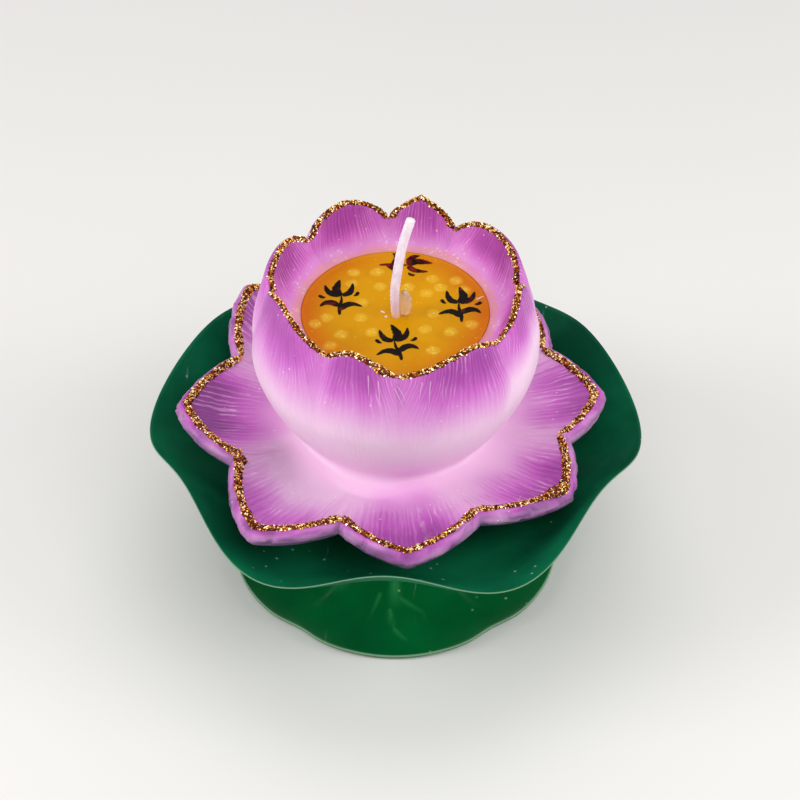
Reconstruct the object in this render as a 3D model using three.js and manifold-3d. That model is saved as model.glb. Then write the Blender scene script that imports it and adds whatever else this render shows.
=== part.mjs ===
import * as THREE from 'three';
import { mergeVertices } from 'three/addons/utils/BufferGeometryUtils.js';
import Module from 'manifold-3d';

// Lotus candle on a leaf stand. Millimetres, +Z up, origin on the floor under the middle.

// Fits
const seatGap = 0.3; // between pieces that rest on or sit in each other
const cutOverrun = 1; // how far a cut runs past the face that it opens

// Foot leaf: a lobed sheet that stands on a flat ring
const footRadius = 44.6;
const footSheet = 1.2;
const footLobes = 5;
const footLobeDepth = 1.4;
const footLobeSharpness = 8; // the higher, the narrower the notch between two lobes
const footLobeTurn = 270;
const footRimLift = 1;
const footRimWave = 0.5;
const footRingRadius = 32;
const footRingWidth = 4;
const footCrownRise = 3.6;
const footCrownRadius = 14.5;
const footVeins = 10;
const footVeinHeight = 0.5;

// Leaf stalk: a fluted tube that plugs into both leaves
const stalkHeight = 24.8;
const stalkWaistRadius = 7.5;
const stalkFlangeRadius = 12.5;
const stalkFlangeHeight = 1.5;
const stalkBore = 9;
const stalkFlutes = 8;
const stalkFluteDepth = 0.9;
const plugHeight = 7;

// Leaf dish: a thin wavy sheet, flat in the middle
const dishRadius = 63;
const dishSheet = 1.2;
const dishFlatRadius = 22;
const dishRimLift = 14.8;
const dishWaves = 6;
const dishWaveTurn = 28;
const dishWaveHeight = 3.8;
const dishWaveReach = 2.1;
const dishBend = 2.8; // power of the curve from the flat middle up to the rim

// Lower petals: one moulded saucer of eight cupped petals
const saucerMargin = 5.5; // leaf that shows past the petals
const saucerReach = dishRadius - saucerMargin;
const saucerBaseRadius = 24;
const saucerHeight = 16.7; // from its base to the seat of the cup
const saucerEdge = 5; // depth of the sloping outer edge
const saucerEdgeInset = 2.6;
const saucerEdgeUndercut = 1.6;
const saucerDip = 1.1;
const saucerPetalLift = 2.8;
const socketDepth = 10;

// Upper petals: a thick-walled cup of eight petals
const cupRadius = 36.8;
const cupHeight = 48.5; // from its seat to a full petal tip
const cupSeatRadius = 25.2;
const cupSpigotRadius = 21.7;
const cupSpigotGap = 0.5; // under the spigot, so that the cup rests on its seat
const cupRim = 2.6; // thickness of the rounded rim
const creaseDepth = 2.2;
const petalCrown = 0.6;
const cavityFloorRadius = 16;
const cavityFloor = 3.7; // wax under the cavity
const cavityMouthRadius = 24; // at the top of the fill

// Fill, seeds and wick
const fillDepth = 39.5;
const fillEdgeRise = 0.5;
const fillEdgeWidth = 1.5;
const seedRadius = 1.7;
const seedProud = 0.45;
const wickDiameter = 2.5;
const wickExposed = 26.7;
const wickOffsetX = 0.2;
const wickOffsetY = -1.3;
const sustainerRadius = 8;
const sustainerSheet = 0.5;
const sustainerCollarHeight = 6;
const sustainerCollarWall = 0.5;
const glueWidth = 3.8;
const glueHeight = 8.4;
const glueOffsetX = 2.2;
const glueOffsetY = 0.6;

// Glitter lines
const rimGlitterWidth = 2.4;
const saucerGlitterWidth = 2.9;
const glitterThickness = 0.7;
const glitterBreak = 0.7; // degrees left bare at each end of a stroke

// Cup petals, counter-clockwise: where each starts and its tip in degrees, then the
// height of its starting valley and of its tip as shares of the cup's height. The higher
// its round share, the blunter the tip.
const cupPetals = [
  { from: 5, tip: 28, valleyShare: 0.82, tipShare: 0.94, roundShare: 2.6 },
  { from: 60.5, tip: 77.3, valleyShare: 0.796, tipShare: 0.968, roundShare: 1.15 },
  { from: 93, tip: 115.4, valleyShare: 0.812, tipShare: 0.962, roundShare: 1.8 },
  { from: 136, tip: 159, valleyShare: 0.816, tipShare: 0.925, roundShare: 2.2 },
  { from: 181, tip: 204.7, valleyShare: 0.83, tipShare: 0.98, roundShare: 1.6 },
  { from: 236.7, tip: 250.4, valleyShare: 0.86, tipShare: 0.95, roundShare: 1.7 },
  { from: 271.2, tip: 304.9, valleyShare: 0.82, tipShare: 0.92, roundShare: 1.5 },
  { from: 325.3, tip: 347.9, valleyShare: 0.818, tipShare: 0.945, roundShare: 1.5 },
];

// Saucer petals: reach as shares of the saucer's reach, lift as shares of the petal lift
const saucerPetals = [
  { from: -16.4, tip: 5.3, valleyShare: 0.826, tipShare: 0.979, valleyLiftShare: 1.2, tipLiftShare: 0.7 },
  { from: 28, tip: 47, valleyShare: 0.835, tipShare: 0.99, valleyLiftShare: 1.2, tipLiftShare: 0.8 },
  { from: 68, tip: 90, valleyShare: 0.835, tipShare: 0.99, valleyLiftShare: 1.3, tipLiftShare: 0.9 },
  { from: 112, tip: 133.5, valleyShare: 0.835, tipShare: 1.06, valleyLiftShare: 1.5, tipLiftShare: 2.6 },
  { from: 157.3, tip: 179.9, valleyShare: 0.83, tipShare: 1.009, valleyLiftShare: 1.5, tipLiftShare: 0.9 },
  { from: 206.7, tip: 232, valleyShare: 0.826, tipShare: 1.04, valleyLiftShare: 1.2, tipLiftShare: 0.7 },
  { from: 252.2, tip: 273.2, valleyShare: 0.826, tipShare: 0.974, valleyLiftShare: 1.2, tipLiftShare: 0.7 },
  { from: 297.2, tip: 324, valleyShare: 0.826, tipShare: 0.97, valleyLiftShare: 1.2, tipLiftShare: 0.7 },
];
const saucerRoundShare = 1.15;
const saucerEdgeShare = 0.44; // where the sloping edge turns under

// Outer radius of the cup as shares of its radius, at shares of its height
const cupBellyShares = [
  [0, 0.685],
  [0.07, 0.761],
  [0.18, 0.856],
  [0.3, 0.935],
  [0.43, 0.989],
  [0.52, 1],
  [0.64, 0.984],
  [0.77, 0.935],
  [1.05, 0.828],
];

// Where each profile has its points, as shares of its run
const footSlopeShares = [0, 0.33, 0.67, 1];
const footVeinShares = [0, 1, 1, 1, 0.8, 0.5, 0]; // height of a vein at each point of the top
const stalkFlareShares = [0, 0.12, 0.3, 0.5, 0.7, 0.88, 1];
const dishRunShares = [0, 0.22, 0.42, 0.6, 0.76, 0.89, 1];
const saucerUnderShares = [0.4, 0.75];
const saucerTopShares = [1, 0.87, 0.64, 0.38, 0.15];
const cupWallShares = [0.03, 0.12, 0.26, 0.42, 0.58, 0.74, 0.88, 1];
const cupLiningShares = [0.75, 0.45, 0.2, 0.06];
const creaseShare = 0.22; // how much of the way to a tip a crease takes

// The wick's path above the fill, as shares of its exposed length
const wickPathShares = [
  [0, 0, 0],
  [-0.011, 0.004, 0.288],
  [0.019, 0.06, 0.536],
  [0.064, 0.131, 0.76],
  [0.139, 0.199, 1],
];

// Middles of the seeds as shares of the cavity's mouth radius
const seedPlaceShares = [
  [-0.446, 0.65],
  [-0.2, 0.66],
  [-0.163, 0.417],
  [0.133, 0.408],
  [0.333, 0.308],
  [0.48, 0.4],
  [0.396, 0.55],
  [0.65, 0.517],
  [-0.467, 0.467],
  [-0.721, -0.092],
  [-0.363, -0.092],
  [-0.35, 0.15],
  [-0.8, -0.192],
  [-0.567, -0.358],
  [-0.679, -0.5],
  [-0.246, -0.325],
  [0.313, -0.279],
  [0.575, -0.317],
  [0.8, -0.2],
  [0.4, -0.025],
  [0.392, -0.613],
  [0.733, 0.358],
];

// Section of a glitter line: across it, and off the surface, as shares of width and thickness
const glitterSectionShares = [
  [-1, 0],
  [0, 0],
  [1, 0],
  [0.6, 0.8],
  [0, 1],
  [-0.6, 0.8],
];

// Facets
const leafSteps = 60;
const petalSteps = 5; // from a valley to a tip
const roundSteps = 40;
const rimSteps = 4;
const wickSides = 8;
const wickSteps = 14;
const seedSteps = [8, 6]; // round it and from pole to pole
const dropSteps = [12, 10];

// Heights and radii that follow
const footCrown = footSheet + footCrownRise;
const stalkBottom = footCrown + seatGap;
const stalkTop = stalkBottom + stalkHeight;
const plugRadius = stalkBore / 2 - seatGap;
const dishUnderside = stalkTop + seatGap;
const dishFloor = dishUnderside + dishSheet;
const saucerBase = dishFloor + seatGap;
const saucerSeat = saucerBase + saucerHeight;
const cupSeat = saucerSeat + seatGap;
const socketRadius = cupSpigotRadius + seatGap;
const spigotBottom = saucerSeat - socketDepth + cupSpigotGap;
const cavityBottom = spigotBottom + cavityFloor;
const fillBottom = cavityBottom + seatGap;
const fillTop = fillBottom + fillDepth;
const wickRadius = wickDiameter / 2;
const rimRadius = cupRim / 2;

// Materials
const waxPink = new THREE.MeshStandardMaterial({ color: 0xd79fcf, roughness: 0.45, metalness: 0 });
const waxMauve = new THREE.MeshStandardMaterial({ color: 0xcf93cb, roughness: 0.45, metalness: 0 });
const amberGel = new THREE.MeshStandardMaterial({ color: 0xcf9110, roughness: 0.25, metalness: 0 });
const clearGlue = new THREE.MeshStandardMaterial({ color: 0xe6c77a, roughness: 0.15, metalness: 0 });
const wickCotton = new THREE.MeshStandardMaterial({ color: 0xf0e0dc, roughness: 0.7, metalness: 0 });
const tinPlate = new THREE.MeshStandardMaterial({ color: 0xb8b8b4, roughness: 0.35, metalness: 1 });
const goldGlitter = new THREE.MeshStandardMaterial({ color: 0xb08030, roughness: 0.35, metalness: 0.9 });
const leafGreen = new THREE.MeshStandardMaterial({ color: 0x0a3f2c, roughness: 0.4, metalness: 0 });
const glossGreen = new THREE.MeshStandardMaterial({ color: 0x04502c, roughness: 0.15, metalness: 0 });

const wasm = await Module();
wasm.setup();

const candle = new THREE.Group();

function add(name, geometry, material) {
  geometry.computeVertexNormals();
  const mesh = new THREE.Mesh(geometry, material);
  mesh.name = name;
  candle.add(mesh);
}

// Leaves only positions, joins equal points and drops the empty triangles at the poles.
function welded(geometry) {
  geometry.deleteAttribute('normal');
  geometry.deleteAttribute('uv');
  const merged = mergeVertices(geometry, 1e-5);
  const corners = [];
  for (let start = 0; start < merged.index.count; start += 3) {
    const [a, b, c] = [0, 1, 2].map((corner) => merged.index.getX(start + corner));
    if (a !== b && b !== c && c !== a) corners.push(a, b, c);
  }
  merged.setIndex(corners);
  return merged;
}

function solid(geometry) {
  const merged = welded(geometry);
  const vertProperties = new Float32Array(merged.attributes.position.array);
  const triVerts = new Uint32Array(merged.index.array);
  return new wasm.Manifold(new wasm.Mesh({ numProp: 3, vertProperties, triVerts }));
}

function geometryOf(manifold) {
  const { vertProperties, triVerts } = manifold.getMesh();
  const geometry = new THREE.BufferGeometry();
  geometry.setAttribute('position', new THREE.BufferAttribute(vertProperties, 3));
  geometry.setIndex(new THREE.BufferAttribute(triVerts, 1));
  return geometry;
}

// A solid turned about +Z whose profile of [radius, height] changes with the turn in degrees.
function turned(profileAt, turns) {
  const outline = profileAt(turns[0]).map(([radius, height]) => new THREE.Vector2(radius, height));
  const geometry = new THREE.LatheGeometry(outline, turns.length);
  [...turns, turns[0]].forEach((turn, column) => {
    profileAt(turn).forEach(([radius, height], row) => {
      const place = polar(radius, turn, height);
      geometry.attributes.position.setXYZ(column * outline.length + row, place.x, place.y, place.z);
    });
  });
  return geometry;
}

// A section extruded straight, then bent so that each step along it lies at one turn.
// placeAt gives a point from how far it is across, how far off the surface, and the turn.
function bent(sectionShares, turns, placeAt) {
  const section = new THREE.Shape(sectionShares.map(([across, off]) => new THREE.Vector2(across, off)));
  const steps = turns.length - 1;
  const geometry = new THREE.ExtrudeGeometry(section, { depth: steps, steps, bevelEnabled: false });
  const points = geometry.attributes.position;
  for (let index = 0; index < points.count; index += 1) {
    const turn = turns[Math.round(points.getZ(index))];
    const place = placeAt(points.getX(index), points.getY(index), turn);
    points.setXYZ(index, place.x, place.y, place.z);
  }
  return geometry;
}

function polar(radius, turn, height) {
  const angle = THREE.MathUtils.degToRad(turn);
  return new THREE.Vector3(radius * Math.cos(angle), radius * Math.sin(angle), height);
}

function wave(count, turn, crest) {
  return Math.cos(THREE.MathUtils.degToRad(count * (turn - crest)));
}

function evenTurns(steps) {
  return Array.from({ length: steps }, (_, step) => (step * 360) / steps);
}

// Where a turn lies on a ring of petals: its petal, the valley beside it, and the
// share of the way from that valley (0) to the tip (1).
function petalPlace(petals, turn) {
  const start = petals[0].from;
  const degrees = THREE.MathUtils.euclideanModulo(turn - start, 360) + start;
  const index = petals.findLastIndex((petal) => degrees >= petal.from);
  const petal = petals[index];
  const next = petals[(index + 1) % petals.length];
  const end = endOf(petals, index);
  if (degrees <= petal.tip) {
    return { petal, valley: petal, share: (degrees - petal.from) / (petal.tip - petal.from) };
  }
  return { petal, valley: next, share: (end - degrees) / (end - petal.tip) };
}

function endOf(petals, index) {
  return index + 1 < petals.length ? petals[index + 1].from : petals[0].from + 360;
}

// The turns of one petal, with a point at both ends, its tip and the steps between.
function turnsOfPetal(petals, index, bareEnds) {
  const { from, tip } = petals[index];
  const end = endOf(petals, index);
  const rise = Array.from({ length: petalSteps }, (_, step) => from + ((tip - from) * step) / petalSteps);
  const fall = Array.from({ length: petalSteps + 1 }, (_, step) => tip + ((end - tip) * step) / petalSteps);
  const turns = [...rise, ...fall];
  turns[0] += bareEnds;
  turns[turns.length - 1] -= bareEnds;
  return turns;
}

function turnsOfPetals(petals) {
  return petals.flatMap((_, index) => turnsOfPetal(petals, index, 0).slice(0, -1));
}

function rounded(share, roundShare) {
  return 1 - (1 - share) ** roundShare;
}

// Foot leaf
function footTopAt(radius, turn) {
  const ringInside = footRingRadius - footRingWidth / 2;
  const ringOutside = footRingRadius + footRingWidth / 2;
  if (radius <= ringInside) {
    const share = THREE.MathUtils.clamp((radius - footCrownRadius) / (ringInside - footCrownRadius), 0, 1);
    return footSheet + footCrownRise * (1 - THREE.MathUtils.smoothstep(share, 0, 1));
  }
  if (radius <= ringOutside) return footSheet;
  const share = (radius - ringOutside) / (footRadius - ringOutside);
  const lift = footRimLift - footRimWave * wave(footLobes, turn, footLobeTurn);
  return footSheet + lift * share ** 2;
}

function footProfile(turn) {
  const ringInside = footRingRadius - footRingWidth / 2;
  const ringOutside = footRingRadius + footRingWidth / 2;
  const notch = ((1 - wave(footLobes, turn, footLobeTurn)) / 2) ** footLobeSharpness;
  const rim = footRadius - footLobeDepth * notch;
  const vein = footVeinHeight * Math.max(0, wave(footVeins, turn, footLobeTurn));
  const stops = [
    ...footSlopeShares.map((share) => THREE.MathUtils.lerp(footCrownRadius, ringInside, share)),
    ringOutside,
    (ringOutside + rim) / 2,
    rim,
  ];
  const underside = stops.map((radius) => [radius, footTopAt(radius, turn) - footSheet]);
  const top = stops.map((radius, index) => {
    return [radius, footTopAt(radius, turn) + vein * footVeinShares[index]];
  });
  return [
    [0, footCrown - footSheet],
    ...underside,
    ...top.reverse(),
    [plugRadius, footCrown],
    [plugRadius, footCrown + plugHeight],
    [0, footCrown + plugHeight],
  ];
}

// Leaf stalk
function stalkProfile(turn) {
  const flute = stalkFluteDepth * ((1 + wave(stalkFlutes, turn, 0)) / 2);
  const body = stalkHeight - 2 * stalkFlangeHeight;
  const side = stalkFlareShares.map((share) => {
    const swell = Math.abs(2 * share - 1) ** 3;
    const radius = THREE.MathUtils.lerp(stalkWaistRadius, stalkFlangeRadius, swell);
    return [radius - flute, stalkBottom + stalkFlangeHeight + body * share];
  });
  return [
    [stalkBore / 2, stalkBottom],
    [stalkFlangeRadius, stalkBottom],
    ...side,
    [stalkFlangeRadius, stalkTop],
    [stalkBore / 2, stalkTop],
    [stalkBore / 2, stalkBottom],
  ];
}

// Leaf dish
function dishProfile(turn) {
  const rim = dishRadius - dishWaveReach * wave(dishWaves, turn, dishWaveTurn);
  const lift = dishRimLift + dishWaveHeight * wave(dishWaves, turn, dishWaveTurn);
  const top = dishRunShares.map((share) => [
    THREE.MathUtils.lerp(dishFlatRadius, rim, share),
    dishFloor + lift * share ** dishBend,
  ]);
  const underside = top.map(([radius, height]) => [radius, height - dishSheet]);
  return [
    [0, dishUnderside - plugHeight],
    [plugRadius, dishUnderside - plugHeight],
    [plugRadius, dishUnderside],
    ...underside,
    ...top.reverse(),
    [0, dishFloor],
  ];
}

// Lower petals
function saucerOutline(turn) {
  const { petal, valley, share } = petalPlace(saucerPetals, turn);
  const rise = rounded(share, saucerRoundShare);
  const reach = saucerReach * THREE.MathUtils.lerp(valley.valleyShare, petal.tipShare, rise);
  const lift = saucerPetalLift * THREE.MathUtils.lerp(valley.valleyLiftShare, petal.tipLiftShare, share);
  return { reach, lift };
}

// Height of the saucer's top at a share of the way from the cup's seat to its brink.
function saucerTopAt(turn, share) {
  const { reach, lift } = saucerOutline(turn);
  const radius = THREE.MathUtils.lerp(cupSeatRadius, reach - saucerEdgeInset, share);
  const dip = saucerDip * Math.sin(Math.PI * share);
  return [radius, saucerSeat + lift * share ** 1.6 - dip];
}

function saucerProfile(turn) {
  const { reach } = saucerOutline(turn);
  const [, brink] = saucerTopAt(turn, 1);
  const edgeTop = brink - saucerEdge * saucerEdgeShare;
  const edgeBottom = brink - saucerEdge;
  const inside = reach - saucerEdgeUndercut;
  const underside = saucerUnderShares.map((share) => [
    THREE.MathUtils.lerp(saucerBaseRadius, inside, share),
    THREE.MathUtils.lerp(saucerBase, edgeBottom, share ** 1.2),
  ]);
  return [
    [0, saucerBase],
    [saucerBaseRadius, saucerBase],
    ...underside,
    [inside, edgeBottom],
    [reach, edgeTop],
    saucerTopAt(turn, 1),
    ...saucerTopShares.map((share) => saucerTopAt(turn, share * strokeInsideShare(turn))),
    [cupSeatRadius, saucerSeat],
    [socketRadius, saucerSeat],
    [socketRadius, saucerSeat - socketDepth],
    [0, saucerSeat - socketDepth],
  ];
}

// Where the inner edge of the glitter line lies on the saucer's top.
function strokeInsideShare(turn) {
  const { reach } = saucerOutline(turn);
  return 1 - saucerGlitterWidth / (reach - saucerEdgeInset - cupSeatRadius);
}

function saucerStroke(across, off, turn) {
  const [outerRadius, outerHeight] = saucerTopAt(turn, 1);
  const [innerRadius, innerHeight] = saucerTopAt(turn, strokeInsideShare(turn));
  const share = (across + 1) / 2;
  const radius = THREE.MathUtils.lerp(outerRadius, innerRadius, share);
  const height = THREE.MathUtils.lerp(outerHeight, innerHeight, share);
  return polar(radius, turn, height + seatGap + off * glitterThickness);
}

// Upper petals
const belly = new THREE.CubicInterpolant(
  cupBellyShares.map(([height]) => height),
  cupBellyShares.map(([, radius]) => radius),
  1,
);

function rimHeight(turn) {
  const { petal, valley, share } = petalPlace(cupPetals, turn);
  const rise = rounded(share, petal.roundShare);
  return cupSeat + cupHeight * THREE.MathUtils.lerp(valley.valleyShare, petal.tipShare, rise);
}

// How deep the crease between two petals is, from 1 in the valley to 0 on the petal.
function creaseAt(turn) {
  const { share } = petalPlace(cupPetals, turn);
  return Math.exp(-((share / creaseShare) ** 2));
}

function cupRadiusAt(turn, height) {
  const share = (height - cupSeat) / cupHeight;
  const { share: petalShare } = petalPlace(cupPetals, turn);
  const growth = share ** 2;
  const crown = petalCrown * Math.sin((Math.PI * petalShare) / 2) * growth;
  return cupRadius * belly.evaluate(share)[0] + crown - creaseDepth * creaseAt(turn) * growth;
}

// Centre of the rounded rim
function rimCentre(turn) {
  const height = rimHeight(turn) - rimRadius;
  return [cupRadiusAt(turn, height) - rimRadius, height];
}

function cupProfile(turn) {
  const [centreRadius, centreHeight] = rimCentre(turn);
  const wall = cupWallShares.map((share) => {
    const height = THREE.MathUtils.lerp(cupSeat, centreHeight, share);
    return [cupRadiusAt(turn, height), height];
  });
  const rim = Array.from({ length: rimSteps }, (_, step) => {
    const angle = (Math.PI * (step + 1)) / rimSteps;
    return [centreRadius + rimRadius * Math.cos(angle), centreHeight + rimRadius * Math.sin(angle)];
  });
  const lining = cupLiningShares.map((share) => [
    THREE.MathUtils.lerp(cavityMouthRadius, centreRadius - rimRadius, share ** 0.45),
    THREE.MathUtils.lerp(fillTop, centreHeight, share),
  ]);
  return [
    [0, spigotBottom],
    [cupSpigotRadius, spigotBottom],
    [cupSpigotRadius, cupSeat],
    [cupSeatRadius, cupSeat],
    ...wall,
    ...rim,
    ...lining,
    [cavityMouthRadius, fillTop],
    [cavityFloorRadius, cavityBottom],
    [0, cavityBottom],
  ];
}

// A point on the glitter line that covers the crest of the rim, from its outside to its inside.
function rimStroke(across, off, turn) {
  const [centreRadius, centreHeight] = rimCentre(turn);
  const reach = rimRadius + seatGap;
  const spread = rimGlitterWidth / 2 / rimRadius;
  const angle = Math.PI / 2 + across * spread;
  const radius = reach + off * glitterThickness;
  return polar(centreRadius + radius * Math.cos(angle), turn, centreHeight + radius * Math.sin(angle));
}

// Fill, wick and what holds the wick
function wickPath() {
  const foot = new THREE.Vector3(wickOffsetX, wickOffsetY, fillBottom);
  const surface = new THREE.Vector3(wickOffsetX, wickOffsetY, fillTop);
  const above = wickPathShares.map((shares) => {
    return new THREE.Vector3(...shares).multiplyScalar(wickExposed).add(surface);
  });
  return new THREE.CatmullRomCurve3([foot, ...above]);
}

function wickTube(radius) {
  const section = new THREE.Shape();
  section.absarc(0, 0, radius, 0, Math.PI * 2, false);
  return new THREE.ExtrudeGeometry(section, {
    steps: wickSteps,
    curveSegments: wickSides,
    bevelEnabled: false,
    extrudePath: wickPath(),
  });
}

// The sustainer's outline, grown by a clearance, with or without its bore
function sustainerProfile(bore, clearance) {
  const collar = wickRadius + seatGap + sustainerCollarWall + clearance;
  const bottom = fillBottom - clearance;
  return [
    [bore, bottom],
    [sustainerRadius + clearance, bottom],
    [sustainerRadius + clearance, fillBottom + sustainerSheet + clearance],
    [collar, fillBottom + sustainerSheet + clearance],
    [collar, fillBottom + sustainerCollarHeight + clearance],
    [bore, fillBottom + sustainerCollarHeight + clearance],
  ];
}

function sustainer() {
  const profile = sustainerProfile(wickRadius + seatGap, 0);
  const geometry = turned(() => [...profile, profile[0]], evenTurns(roundSteps));
  return geometry.translate(wickOffsetX, wickOffsetY, 0);
}

function fill() {
  const mouth = cavityMouthRadius - seatGap;
  const body = solid(turned(() => [
    [0, fillBottom],
    [cavityFloorRadius - seatGap, fillBottom],
    [mouth, fillTop + fillEdgeRise],
    [mouth - fillEdgeWidth, fillTop],
    [0, fillTop],
  ], evenTurns(roundSteps)));
  const recess = solid(turned(() => sustainerProfile(0, seatGap), evenTurns(roundSteps))
    .translate(wickOffsetX, wickOffsetY, 0));
  const channelHeight = fillDepth + 2 * cutOverrun;
  const channel = solid(new THREE.CylinderGeometry(
    wickRadius + seatGap, wickRadius + seatGap, channelHeight, roundSteps)
    .rotateX(Math.PI / 2)
    .translate(wickOffsetX, wickOffsetY, fillBottom - cutOverrun + channelHeight / 2));
  const seeds = seedPlaceShares.map(([x, y]) => solid(new THREE.SphereGeometry(seedRadius, ...seedSteps)
    .rotateX(Math.PI / 2)
    .translate(x * cavityMouthRadius, y * cavityMouthRadius, fillTop - seedRadius + seedProud)));
  const seeded = seeds.reduce((whole, seed) => whole.add(seed), body);
  return geometryOf(seeded.subtract(recess).subtract(channel));
}

function glueDrop() {
  const centreHeight = fillTop + seatGap + glueHeight / 2 - glueWidth / 4;
  const drop = solid(new THREE.SphereGeometry(1, ...dropSteps)
    .rotateX(Math.PI / 2)
    .scale(glueWidth / 2, glueWidth / 2, glueHeight / 2)
    .translate(wickOffsetX + glueOffsetX, wickOffsetY + glueOffsetY, centreHeight));
  const below = solid(new THREE.CylinderGeometry(glueWidth, glueWidth, glueHeight, roundSteps)
    .rotateX(Math.PI / 2)
    .translate(wickOffsetX + glueOffsetX, wickOffsetY + glueOffsetY, fillTop + seatGap - glueHeight / 2));
  return geometryOf(drop.subtract(below).subtract(solid(wickTube(wickRadius + seatGap))));
}

add('foot_leaf', welded(turned(footProfile, evenTurns(leafSteps))), glossGreen);
add('leaf_stalk', welded(turned(stalkProfile, evenTurns(roundSteps))), glossGreen);
add('leaf_dish', welded(turned(dishProfile, evenTurns(leafSteps))), leafGreen);
add('lower_petals', welded(turned(saucerProfile, turnsOfPetals(saucerPetals))), waxMauve);
add('upper_petals', welded(turned(cupProfile, turnsOfPetals(cupPetals))), waxPink);
add('amber_fill', fill(), amberGel);
add('wick_sustainer', welded(sustainer()), tinPlate);
add('wick', welded(wickTube(wickRadius)), wickCotton);
add('wick_glue', glueDrop(), clearGlue);
cupPetals.forEach((_, index) => {
  const turns = turnsOfPetal(cupPetals, index, glitterBreak);
  add(`rim_glitter_${index + 1}`, welded(bent(glitterSectionShares, turns, rimStroke)), goldGlitter);
});
saucerPetals.forEach((_, index) => {
  const turns = turnsOfPetal(saucerPetals, index, glitterBreak);
  add(`saucer_glitter_${index + 1}`, welded(bent(glitterSectionShares, turns, saucerStroke)), goldGlitter);
});

export default candle;
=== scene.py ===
"""Looks of the lotus candle on its leaf stand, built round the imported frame."""
import logging
import math
import random
from bisect import bisect_right
from dataclasses import dataclass
from enum import Enum
from functools import cache
from typing import Callable, ClassVar, Iterable, NamedTuple, Sequence

import bmesh
import bpy
from mathutils import Matrix, Vector, noise


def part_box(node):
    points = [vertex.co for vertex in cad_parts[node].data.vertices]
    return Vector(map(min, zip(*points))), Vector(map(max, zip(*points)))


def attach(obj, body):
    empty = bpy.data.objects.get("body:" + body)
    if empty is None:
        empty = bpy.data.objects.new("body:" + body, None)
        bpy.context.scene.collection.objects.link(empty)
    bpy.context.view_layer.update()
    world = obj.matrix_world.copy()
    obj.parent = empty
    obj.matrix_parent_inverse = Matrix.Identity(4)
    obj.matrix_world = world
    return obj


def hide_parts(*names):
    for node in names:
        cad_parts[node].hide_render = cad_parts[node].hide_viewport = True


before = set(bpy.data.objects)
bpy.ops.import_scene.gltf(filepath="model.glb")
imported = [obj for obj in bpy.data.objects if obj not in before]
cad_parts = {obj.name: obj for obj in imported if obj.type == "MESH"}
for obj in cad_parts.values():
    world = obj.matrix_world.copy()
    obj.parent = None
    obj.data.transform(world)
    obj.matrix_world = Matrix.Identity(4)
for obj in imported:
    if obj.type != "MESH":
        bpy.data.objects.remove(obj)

LOG = logging.getLogger("lotus_candle")
MM = 0.001
JOIN_WITHIN = 1e-7  # metres within which two vertices become one
SEAT_GAP = 0.3  # mm that the frame keeps between pieces that touch
Colour = tuple[float, float, float]


class Body(Enum):
    """Bodies of the frame that pieces ride on."""

    STAND = "stand"
    CANDLE = "candle"


class Slot(Enum):
    """Material slots of the record; each new piece names one, which settle does not use."""

    PETAL_WAX = "petal_wax"
    AMBER_GEL = "amber_gel"
    CLEAR_GLUE = "clear_glue"
    WICK_COTTON = "wick_cotton"
    GOLD_GLITTER = "gold_glitter"
    SATIN_LEAF = "satin_leaf"
    GLOSS_LEAF = "gloss_leaf"


def lerp(start: float, end: float, share: float) -> float:
    """Returns the value a share of the way from start to end."""
    return start + (end - start) * share


def smooth(low: float, high: float, value: float) -> float:
    """Returns 0 below low and 1 above high, with an S curve between them."""
    share = min(1.0, max(0.0, (value - low) / (high - low)))
    return share * share * (3 - 2 * share)


def rounded(share: float, blunt: float) -> float:
    """Returns the rise towards a petal's tip; the higher blunt is, the rounder the tip."""
    return 1 - (1 - share) ** blunt


def facing(turn: float) -> tuple[float, float]:
    """Returns the cosine and the sine of a turn in degrees."""
    angle = math.radians(turn)
    return math.cos(angle), math.sin(angle)


def polar(radius: float, turn: float, height: float) -> Vector:
    """Places a point on a turn round the upright axis.

    Args:
        radius: Distance from the axis in mm.
        turn: Turn from +X in degrees.
        height: Height in mm.

    Returns:
        The point in metres.
    """
    x, y = facing(turn)
    return Vector((radius * x, radius * y, height)) * MM


def wave(count: int, turn: float, crest: float) -> float:
    """Returns a cosine of so many waves a turn, with a crest at that turn in degrees."""
    return math.cos(math.radians(count * (turn - crest)))


def grain(x: float, y: float, z: float) -> float:
    """Returns smooth noise from -1 to 1 at a point, the same on each run."""
    return noise.noise(Vector((x, y, z)))


def srgb(red: int, green: int, blue: int) -> Colour:
    """Turns display values into a linear colour, by the standard sRGB curve.

    Args:
        red: Red from 0 to 255.
        green: Green, likewise.
        blue: Blue, likewise.

    Returns:
        Red, green and blue from 0 to 1.
    """

    def linear(value: int) -> float:
        """Returns one of them from 0 to 1."""
        share = value / 255
        return share / 12.92 if share <= 0.04045 else ((share + 0.055) / 1.055) ** 2.4

    return linear(red), linear(green), linear(blue)


@cache
def low(node: str) -> float:
    """Returns the lowest height of a frame node in mm."""
    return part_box(node)[0].z / MM


@cache
def high(node: str) -> float:
    """Returns the highest height of a frame node in mm."""
    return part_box(node)[1].z / MM


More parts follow.
